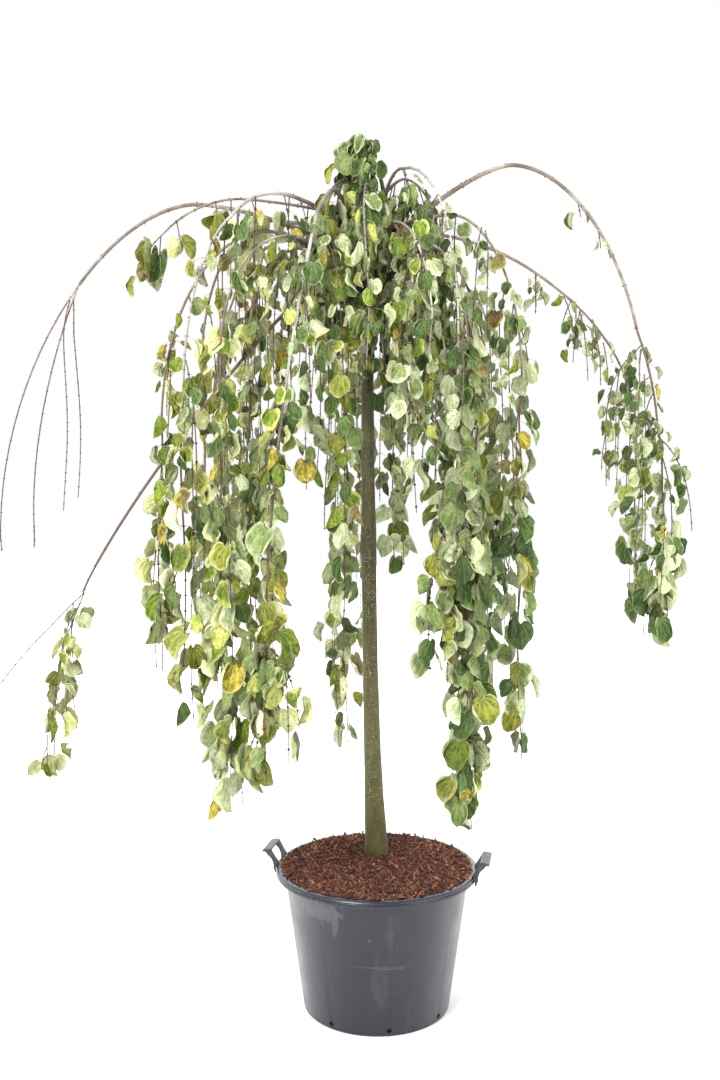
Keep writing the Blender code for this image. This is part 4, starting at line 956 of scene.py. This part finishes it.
def bent(x, y, bend, turn, out):
    """A point of the flat blade after its fold, roll, twist, wave and curl."""
    lapped = bend.lap * max(0.0, math.cos(turn - math.radians(bend.lap_turn))) if out > 0.99 else 0.0
    x *= 1.0 - LAP_WIDTH * lapped
    y = HEART_CENTRE + (y - HEART_CENTRE) * (1.0 - LAP_WIDTH * lapped)
    fold = math.radians(bend.fold)
    z = LAP_RISE * lapped - abs(x) * math.sin(fold)
    x = x * math.cos(fold)
    if bend.roll:
        z -= (1.0 - math.cos(bend.roll * x)) / bend.roll
        x = math.sin(bend.roll * x) / bend.roll
    z += bend.wave * math.sin(turn * 5.0 + 1.0) * out * out
    twist = math.radians(bend.twist) * (y - HEART_CENTRE)
    x, z = x * math.cos(twist) - z * math.sin(twist), x * math.sin(twist) + z * math.cos(twist)
    angle = bend.curl * y
    depth = (1.0 - math.cos(angle)) / bend.curl
    y = math.sin(angle) / bend.curl
    return x, y + z * math.sin(angle), z * math.cos(angle) - depth


def leaf_shape(bend, under):
    """The upper or lower face of a leaf: points, triangles, flat places, ring shares."""
    bpy.ops.object.select_all(action="DESELECT")
    bpy.ops.mesh.primitive_circle_add(vertices=LEAF_SECTORS, radius=LEAF_RINGS[0], fill_type="TRIFAN")
    leaf = bpy.context.object
    bpy.ops.object.mode_set(mode="EDIT")
    for near, far in zip(LEAF_RINGS, LEAF_RINGS[1:]):
        bpy.ops.mesh.select_all(action="SELECT")
        bpy.ops.mesh.region_to_loop()
        bpy.ops.mesh.extrude_edges_move()
        bpy.ops.transform.resize(value=(far / near, far / near, 1), center_override=(0, 0, 0))
    bpy.ops.mesh.select_all(action="SELECT")
    bpy.ops.mesh.normals_make_consistent(inside=under)
    bpy.ops.object.mode_set(mode="OBJECT")
    flat = []
    rings = []
    for number, vert in enumerate(leaf.data.vertices):
        turn = math.atan2(vert.co.x, vert.co.y)
        out = vert.co.length
        reach = np.interp(abs(math.degrees(turn)), HEART_TURNS, HEART_REACHES) * out
        if out > 0.99:
            reach *= 1.0 - SCALLOP * (number % 2)
        x = reach * math.sin(turn)
        y = HEART_CENTRE + reach * math.cos(turn)
        flat.append((x, y))
        rings.append(out)
        vert.co = bent(x, y, bend, turn, out)
    leaf.data.update()
    normals = np.array([vert.normal[:] for vert in leaf.data.vertices])
    points, faces = shape_of(leaf)
    rings = np.array(rings)
    if under:
        points += normals * (rings < 0.99)[:, None] * LEAF_THICK
    return points, np.array(faces), np.array(flat), rings


leaf_shapes = {(poise, under): leaf_shape(bend, under) for poise, bend in enumerate(BENDS) for under in (False, True)}
box_low = Vector(cad_low)
box_high = Vector(cad_high)


def leaf_matrix(root, along, facing, size, narrow):
    """The leaf's frame: stalk end at its root, tip along, upper side facing."""
    across = along.cross(facing).normalized()
    normal = across.cross(along).normalized()
    turn = Matrix((across * size * narrow, along * size, normal * size)).transposed()
    return Matrix.Translation(root) @ turn.to_4x4()


def inside(point):
    """Whether a point keeps to the crown's own box and off the trunk."""
    axis = trunk_centre(min(point.z, TREE_HEIGHT))
    clear = math.hypot(point.x - axis.x, point.y - axis.y) > trunk_radius(min(point.z, TREE_HEIGHT)) + 0.004
    return clear and all(low < value < high for low, value, high in zip(box_low, point, box_high))


def pick(dice, shares):
    """One key of a table of shares."""
    roll = dice.random() * sum(shares.values())
    for key, share in shares.items():
        roll -= share
        if roll <= 0.0:
            break
    return key


leaves = {tint: [] for tint in TINTS}
stalks = []
buds = []
bend_table = dict(enumerate(BEND_SHARES))
mass_tops = {mass.name: arch_point(by_name[mass.bough], 1.0 + by_name[mass.bough].bare).z for mass in MASSES}
for number, shoot in enumerate(shoots):
    bare = shoot.mass.name.endswith("_twigs")
    dice = random.Random(9000 + number)
    spray_tint = dice.uniform(-0.3, 0.3)
    turn = dice.uniform(0.0, FULL_TURN)
    passed = 0.0
    at_top = shoot.mass.bough == "leader"
    node_step = BARE_STEP if bare else NODE_STEP * (0.6 if at_top else 1.0)
    bud_size = 1.8 if shoot.mass.bough in PALE_BOUGHS else 1.3
    goal = node_step * dice.uniform(0.0 if at_top else 0.4, 1.0)
    end_bare = dice.uniform(*(BARE_ENDS if shoot.mass.thin < 0.5 else THIN_ENDS))
    end_bare = min(end_bare, 0.3 * (shoot.points[0].z - shoot.points[-1].z))
    lowest = shoot.points[-1].z + end_bare
    for index, (near, far) in enumerate(zip(shoot.points, shoot.points[1:])):
        length = (far - near).length
        while passed + length > goal:
            node = near.lerp(far, (goal - passed) / length)
            goal += node_step * dice.uniform(0.75, 1.25)
            turn += math.pi / 2 + dice.uniform(-0.4, 0.4)
            axis = trunk_centre(min(node.z, HEAD_HEIGHT))
            outward = Vector((node.x - axis.x, node.y - axis.y, 0.0)).normalized()
            low_down = min(max((1.8 - node.z) / 0.6, 0.0), 1.0)
            yellowing = min(max(0.24 - (0.9 + 0.6 * low_down) * node.x + spray_tint, 0.0), 1.0)
            thin = FULL_THIN if node.x < LEFT_SIDE and node.z < FULL_FOOT else shoot.mass.thin
            fallen = min(max(mass_tops[shoot.mass.name] - node.z, 0.0) / GROWTH_DROP, 1.0)
            growth = shoot.mass.leaf + (FULL_GROWTH - shoot.mass.leaf) * fallen ** 2.2
            if node.x > FAR_RIGHT:
                growth *= 1.0 + FAR_GROWTH * min(max(FAR_FOOT - node.z, 0.0), 0.25)
            for hand in (1.0, -1.0):
                aside = Vector((math.cos(turn), math.sin(turn), 0.0)) * hand
                buds.append(Matrix.Translation(node + aside * shoot.radii[index]) @
                            aside.to_track_quat("Y", "Z").to_matrix().to_4x4() @ Matrix.Scale(bud_size, 4))
                if bare or node.z < lowest or dice.random() < thin:
                    continue
                way = (aside + Vector((0, 0, dice.uniform(-1.0, 0.1)))).normalized()
                root = node + way * dice.uniform(*STALK)
                along = aside * dice.uniform(0.1, 0.7) - Vector((0, 0, dice.uniform(0.6, 1.0)))
                along = (along + outward * (dice.uniform(-0.2, 0.4) + (0.5 if at_top else 0.0))).normalized()
                facing = aside * 0.5 + outward * dice.uniform(-0.3, 1.0) + Vector((0, 0, dice.uniform(0.0, 0.8)))
                if at_top:
                    facing += outward * 1.2
                if node.x > FAR_RIGHT:
                    facing += Vector((0.0, -0.3, 0.0))
                facing += Vector([dice.uniform(-0.5, 0.5) for _ in range(3)])
                size = dice.uniform(LEAF_SIZES[0] + SMALL_GAIN * fallen, LEAF_SIZES[1]) * growth
                if not inside(root + along * size):
                    continue
                matrix = leaf_matrix(root, along, facing, size, dice.uniform(*LEAF_NARROW))
                poise = pick(dice, bend_table)
                share = {tint: GREEN_SIDE[tint] + (YELLOW_SIDE[tint] - GREEN_SIDE[tint]) * yellowing
                         for tint in GREEN_SIDE}
                tint = pick(dice, share)
                if node.x < -0.25 and node.z > 1.90 and dice.random() < (0.9 if node.x < -0.42 else 0.5):
                    tint = dice.choice(("brown", "gold", "olive", "olive"))
                if at_top and tint not in ("mid", "olive", "brown") or node.x > FAR_RIGHT and tint == "pale":
                    tint = "dark"
                luck = dice.random()
                leaves[tint].append((matrix, poise, False, luck))
                ripe = tint in ("lime", "straw", "gold") or dice.random() < 0.6 * yellowing
                under = "under_straw" if ripe else "under"
                leaves[under].append((matrix, poise, True, luck))
                middle = node.lerp(root, 0.5) + Vector((0, 0, 0.002))
                stalks.append(sweep((node, middle, root), (STALK_RADIUS,) * 3, 3))
        passed += length


def math_node(tree, operation, first, second=0.0):
    """The result of one Math node on sockets or numbers."""
    node = tree.nodes.new("ShaderNodeMath")
    node.operation = operation
    for socket, value in zip(node.inputs, (first, second)):
        if isinstance(value, bpy.types.NodeSocket):
            tree.links.new(value, socket)
        else:
            socket.default_value = value
    return node.outputs[0]


def span(tree, value, low, high):
    """A smooth 0 to 1 as the value goes from low to high."""
    node = tree.nodes.new("ShaderNodeMapRange")
    node.interpolation_type = "SMOOTHSTEP"
    node.inputs["From Min"].default_value = low
    node.inputs["From Max"].default_value = high
    tree.links.new(value, node.inputs["Value"])
    return node.outputs["Result"]


# The blade's surface: veins that fan from the stalk and arch to the tip, panels that
# swell between them, a mottle of two tones, the leaf's own blotches, whose lighter, greyer
# tone on the dark, fresh and mid greens is also painted sheen, a thin rim, brown on some
# leaves and on the rest a pale painted highlight along the edge, and on some leaves a
# broad ragged margin that has turned, or brown specks
blade = bpy.data.node_groups.new("leaf blade", "ShaderNodeTree")
for name in ("Blade", "Blotch", "Vein", "Rim"):
    blade.interface.new_socket(name=name, in_out="INPUT", socket_type="NodeSocketColor")
blade.interface.new_socket(name="Colour", in_out="OUTPUT", socket_type="NodeSocketColor")
blade.interface.new_socket(name="Relief", in_out="OUTPUT", socket_type="NodeSocketFloat")
inlet = blade.nodes.new("NodeGroupInput")
outlet = blade.nodes.new("NodeGroupOutput")
sockets = {}
for layer in ("blade", "fate"):
    reader = blade.nodes.new("ShaderNodeUVMap")
    reader.uv_map = layer
    parts = blade.nodes.new("ShaderNodeSeparateXYZ")
    blade.links.new(reader.outputs["UV"], parts.inputs["Vector"])
    sockets[layer] = (parts.outputs["X"], parts.outputs["Y"])
across, along = sockets["blade"]
ring, luck = sockets["fate"]
second_luck = math_node(blade, "FRACT", math_node(blade, "MULTIPLY", luck, 7.3))
third_luck = math_node(blade, "FRACT", math_node(blade, "MULTIPLY", luck, 31.7))
reach = math_node(blade, "POWER", math_node(blade, "ADD", math_node(blade, "MULTIPLY", across, across),
                                            math_node(blade, "MULTIPLY", along, along)), 0.5)
fan = math_node(blade, "MULTIPLY", math_node(blade, "ARCTAN2", across, along),
                math_node(blade, "ADD", math_node(blade, "MULTIPLY", reach, 0.7), 0.8))
panel = math_node(blade, "PINGPONG", fan, 0.27)
vein = math_node(blade, "SUBTRACT", 1.0, span(blade, math_node(blade, "MULTIPLY", panel, reach), 0.004, 0.028))
hollow = span(blade, panel, 0.03, 0.22)
seat = blade.nodes.new("ShaderNodeCombineXYZ")
blade.links.new(across, seat.inputs["X"])
blade.links.new(along, seat.inputs["Y"])
blade.links.new(math_node(blade, "MULTIPLY", luck, 60.0), seat.inputs["Z"])
seat = seat.outputs["Vector"]
# The mottle: the leaf's own blotches of two tones; on the dark, fresh and mid greens the lighter, greyer tone also
# stands for painted sheen.
mottle_and_sheen = math_node(blade, "ADD", add_noise(blade, seat, 3.0, 2.0), add_noise(blade, seat, 11.0, 2.0, 0.7))
mottle_and_sheen = span(blade, mottle_and_sheen, 0.88, 1.12)
colour = add_mix(blade, mottle_and_sheen, inlet.outputs["Blade"], inlet.outputs["Blotch"])
colour = add_mix(blade, math_node(blade, "MULTIPLY", vein, 0.48), colour, inlet.outputs["Vein"])
ragged = math_node(blade, "ADD", ring, math_node(blade, "MULTIPLY", add_noise(blade, seat, 3.0, 3.0, 0.6), 1.2))
turned = math_node(blade, "MULTIPLY", span(blade, ragged, 1.20, 1.55), span(blade, third_luck, 0.62, 0.88))
colour = add_mix(blade, turned, colour, inlet.outputs["Rim"])
# A thin rim round the blade: on some leaves a real brown hem, on the rest a pale painted highlight along the edge.
thin_hem_and_highlight = math_node(blade, "ADD", ring, math_node(blade, "MULTIPLY", add_noise(blade, seat, 5.0, 2.0), 0.3))
thin_hem_and_highlight = math_node(blade, "MULTIPLY", span(blade, thin_hem_and_highlight, 1.07, 1.12), span(blade, second_luck, -0.5, 0.6))
hem_highlight_share = span(blade, third_luck, 0.35, 0.40)
hem_brown_and_highlight = add_mix(blade, hem_highlight_share, (0.130, 0.095, 0.040), (0.460, 0.480, 0.280))
colour = add_mix(blade, math_node(blade, "MULTIPLY", thin_hem_and_highlight, 0.42), colour, hem_brown_and_highlight)
specks = span(blade, add_noise(blade, seat, 6.0, 3.0, 0.6), 0.60, 0.68)
specks = math_node(blade, "MULTIPLY", specks, span(blade, third_luck, 0.22, 0.12))
colour = add_mix(blade, specks, colour, (0.090, 0.050, 0.022))
shade = blade.nodes.new("ShaderNodeVectorMath")
shade.operation = "SCALE"
blade.links.new(colour, shade.inputs[0])
worth = math_node(blade, "ADD", math_node(blade, "MULTIPLY", second_luck, 0.76), 0.72)
blade.links.new(math_node(blade, "MULTIPLY", worth, math_node(blade, "SUBTRACT", 1.02, math_node(
    blade, "MULTIPLY", hollow, 0.10))), shade.inputs["Scale"])
blade.links.new(shade.outputs["Vector"], outlet.inputs["Colour"])
swell = math_node(blade, "ADD", hollow, math_node(blade, "MULTIPLY", mottle_and_sheen, 0.6))
blade.links.new(swell, outlet.inputs["Relief"])

for tint, (colour, blotch_and_sheen) in TINTS.items():
    material, tree, shader = new_material("leaf " + tint.replace("_", " "))
    surface = tree.nodes.new("ShaderNodeGroup")
    surface.node_tree = blade
    surface.inputs["Blade"].default_value = (*colour, 1.0)
    surface.inputs["Blotch"].default_value = (*blotch_and_sheen, 1.0)
    surface.inputs["Vein"].default_value = (*[value * 0.8 + 0.15 for value in colour[:2]], colour[2] * 0.8 + 0.07, 1.0)
    surface.inputs["Rim"].default_value = (*TINTS[RIM_TINTS[tint]][0], 1.0)
    tree.links.new(surface.outputs["Colour"], shader.inputs["Base Color"])
    add_bump(tree, shader, surface.outputs["Relief"], 0.0011)
    shader.inputs["Roughness"].default_value = 0.75 if tint.startswith("under") else 0.40
    shader.inputs["Specular IOR Level"].default_value = 0.08 if tint.startswith("under") else 0.14
    places = leaves[tint]
    whole = LEAF_SECTORS * (2 * len(LEAF_RINGS) - 1)
    parts = math.ceil(len(places) * whole / PIECE_FACES)
    for part in range(parts):
        points = []
        faces = []
        flats = []
        fates = []
        count = 0
        for key, (shape_points, shape_faces, shape_flat, shape_rings) in leaf_shapes.items():
            chosen = [entry for entry in places[part::parts] if entry[1:3] == key]
            if not chosen:
                continue
            matrices = np.array([[list(row) for row in entry[0]] for entry in chosen])
            placed = np.einsum("nij,vj->nvi", matrices[:, :3, :3], shape_points) + matrices[:, None, :3, 3]
            points.append(placed.reshape(-1, 3))
            table = shape_faces[None] + (np.arange(len(chosen)) * len(shape_points))[:, None, None]
            faces.append(table.reshape(-1, 3) + count)
            flats.append(np.tile(shape_flat, (len(chosen), 1)))
            lucks = np.repeat([entry[3] for entry in chosen], len(shape_points))
            fates.append(np.stack((np.tile(shape_rings, len(chosen)), lucks), axis=1))
            count += len(points[-1])
        faces = np.concatenate(faces)
        piece = mesh_piece("leaves_%s_%d" % (tint, part + 1), np.concatenate(points), faces, material)
        for layer, values in (("blade", np.concatenate(flats)), ("fate", np.concatenate(fates))):
            piece.data.uv_layers.new(name=layer).uv.foreach_set("vector", values[faces.ravel()].astype(np.float32).ravel())
        piece.data.shade_smooth()
        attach(piece, "root")
        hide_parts(*[mass.name for mass in MASSES if mass.name.endswith("_foliage")])

# The buds. A pair of small dark scaly buds, or the scars of a stalk, sits at each
# node of the twigs, so the twigs look knotted where their leaves have gone.
BUD_SIZE = (0.0022, 0.0040, 0.0022)
bpy.ops.object.select_all(action="DESELECT")
bpy.ops.mesh.primitive_cone_add(vertices=5, radius1=1.0, radius2=0.0, depth=1.0, location=(0, 0, 0),
                                rotation=(-math.pi / 2, 0, 0))
bpy.ops.object.transform_apply(location=True, rotation=True, scale=True)
bud_shape = shape_of(bpy.context.object)
bud_brown, tree, shader = new_material("bud scales")
husk = add_ramp(tree, add_noise(tree, object_place(tree), 400.0), [(0.4, (0.045, 0.022, 0.018)), (0.7, (0.12, 0.06, 0.045))])
tree.links.new(husk, shader.inputs["Base Color"])
shader.inputs["Roughness"].default_value = 0.6
for bough in BOUGHS:
    if bough.foot >= TREE_HEIGHT:
        continue
    points, shares = arch_route(bough, 0.12, 1.0 + bough.bare)
    dice = random.Random(int(bough.azimuth))
    turn = dice.uniform(0.0, FULL_TURN)
    for (near, far), share in zip(zip(points, points[1:]), shares):
        turn += dice.uniform(0.6, 1.2)
        along = (far - near).normalized()
        across = along.orthogonal().normalized()
        across = Matrix.Rotation(turn, 3, along) @ across
        for hand in (1.0, -1.0):
            if dice.random() < 0.4:
                continue
            spot = near + across * hand * limb_radius(bough, share)
            turned = (across * hand).to_track_quat("Y", "Z").to_matrix().to_4x4()
            buds.append(Matrix.Translation(spot) @ turned @ Matrix.Scale(dice.uniform(1.4, 2.4), 4))
bud_places = [matrix @ Matrix.Diagonal((*BUD_SIZE, 1.0)) for matrix in buds]
bud_piece = joined_copies("buds", bud_shape, bud_places, bud_brown)
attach(bud_piece, "root")

# The leaf stalks. Thin round stalks, pale yellow-green and a little glossy, that
# hold each leaf a finger's width off its twig.
stalk_green, tree, shader = new_material("stalk green")
shader.inputs["Base Color"].default_value = (0.42, 0.38, 0.12, 1.0)
shader.inputs["Roughness"].default_value = 0.55
stalk_piece = joined_tubes("leaf_stalks", stalks, stalk_green)
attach(stalk_piece, "root")

# The studio: a pale floor and soft light from all round, as outdoors under an
# overcast sky, and the camera where the photographer stood.
bpy.ops.object.select_all(action="DESELECT")
bpy.ops.mesh.primitive_plane_add(size=40.0, location=(0, 0, -0.0005))
floor = bpy.context.object
floor.name = "floor"
floor_paint, tree, shader = new_material("pale floor")
shader.inputs["Base Color"].default_value = (0.86, 0.86, 0.86, 1.0)
shader.inputs["Roughness"].default_value = 0.9
shader.inputs["Emission Strength"].default_value = 1.0
away = tree.nodes.new("ShaderNodeVectorMath")
away.operation = "LENGTH"
tree.links.new(object_place(tree), away.inputs[0])
fade = tree.nodes.new("ShaderNodeMapRange")
fade.inputs["From Min"].default_value = 0.6
fade.inputs["From Max"].default_value = 4.0
tree.links.new(away.outputs["Value"], fade.inputs["Value"])
glow = add_ramp(tree, fade.outputs["Result"], [(0.0, 0.0), (1.0, 0.5)])
tree.links.new(glow, shader.inputs["Emission Color"])
floor.data.materials.append(floor_paint)
world = bpy.data.worlds.new("studio")
bpy.context.scene.world = world
world.use_nodes = True
# The sky: pure white where the camera sees it. For the light it gives, it is
# brighter behind the tree than in front, so the pot's sides catch a sheen.
sky = world.node_tree
SKY_FRONT = 0.88
SKY_BACK = 2.5
direction = sky.nodes.new("ShaderNodeTexCoord")
axes = sky.nodes.new("ShaderNodeSeparateXYZ")
sky.links.new(direction.outputs["Generated"], axes.inputs["Vector"])
glow = sky.nodes.new("ShaderNodeMapRange")
glow.interpolation_type = "SMOOTHSTEP"
glow.inputs["From Min"].default_value = -0.4
glow.inputs["From Max"].default_value = 0.6
glow.inputs["To Min"].default_value = SKY_FRONT
glow.inputs["To Max"].default_value = SKY_BACK
sky.links.new(axes.outputs["Y"], glow.inputs["Value"])
seen = sky.nodes.new("ShaderNodeLightPath")
strength = sky.nodes.new("ShaderNodeMix")
sky.links.new(seen.outputs["Is Camera Ray"], strength.inputs["Factor"])
sky.links.new(glow.outputs["Result"], strength.inputs["A"])
strength.inputs["B"].default_value = 1.0
sky.links.new(strength.outputs["Result"], sky.nodes["Background"].inputs["Strength"])
sky.nodes["Background"].inputs["Color"].default_value = (1.0, 1.0, 1.0, 1.0)
for name, spot, size, power in (
        ("key", (-3.0, -4.5, 5.5), 2.5, 520.0), ("fill", (4.5, -3.0, 3.5), 4.0, 120.0)):
    light = bpy.data.lights.new(name, "AREA")
    light.size = size
    light.energy = power
    lamp = bpy.data.objects.new(name, light)
    lamp.location = spot
    lamp.rotation_euler = (Vector((0, 0, 1.3)) - Vector(spot)).to_track_quat("-Z", "Y").to_euler()
    bpy.context.scene.collection.objects.link(lamp)
camera = bpy.data.cameras.new("camera")
camera.sensor_width = 36.0
camera.lens = 35.57
viewer = bpy.data.objects.new("camera", camera)
viewer.location = (-0.0494, -3.1345, 1.5099)
viewer.rotation_euler = (math.pi / 2 - 0.0416, 0.0, 0.0)
bpy.context.scene.collection.objects.link(viewer)
bpy.context.scene.camera = viewer
bpy.context.scene.view_settings.view_transform = "Standard"

bpy.context.view_layer.update()
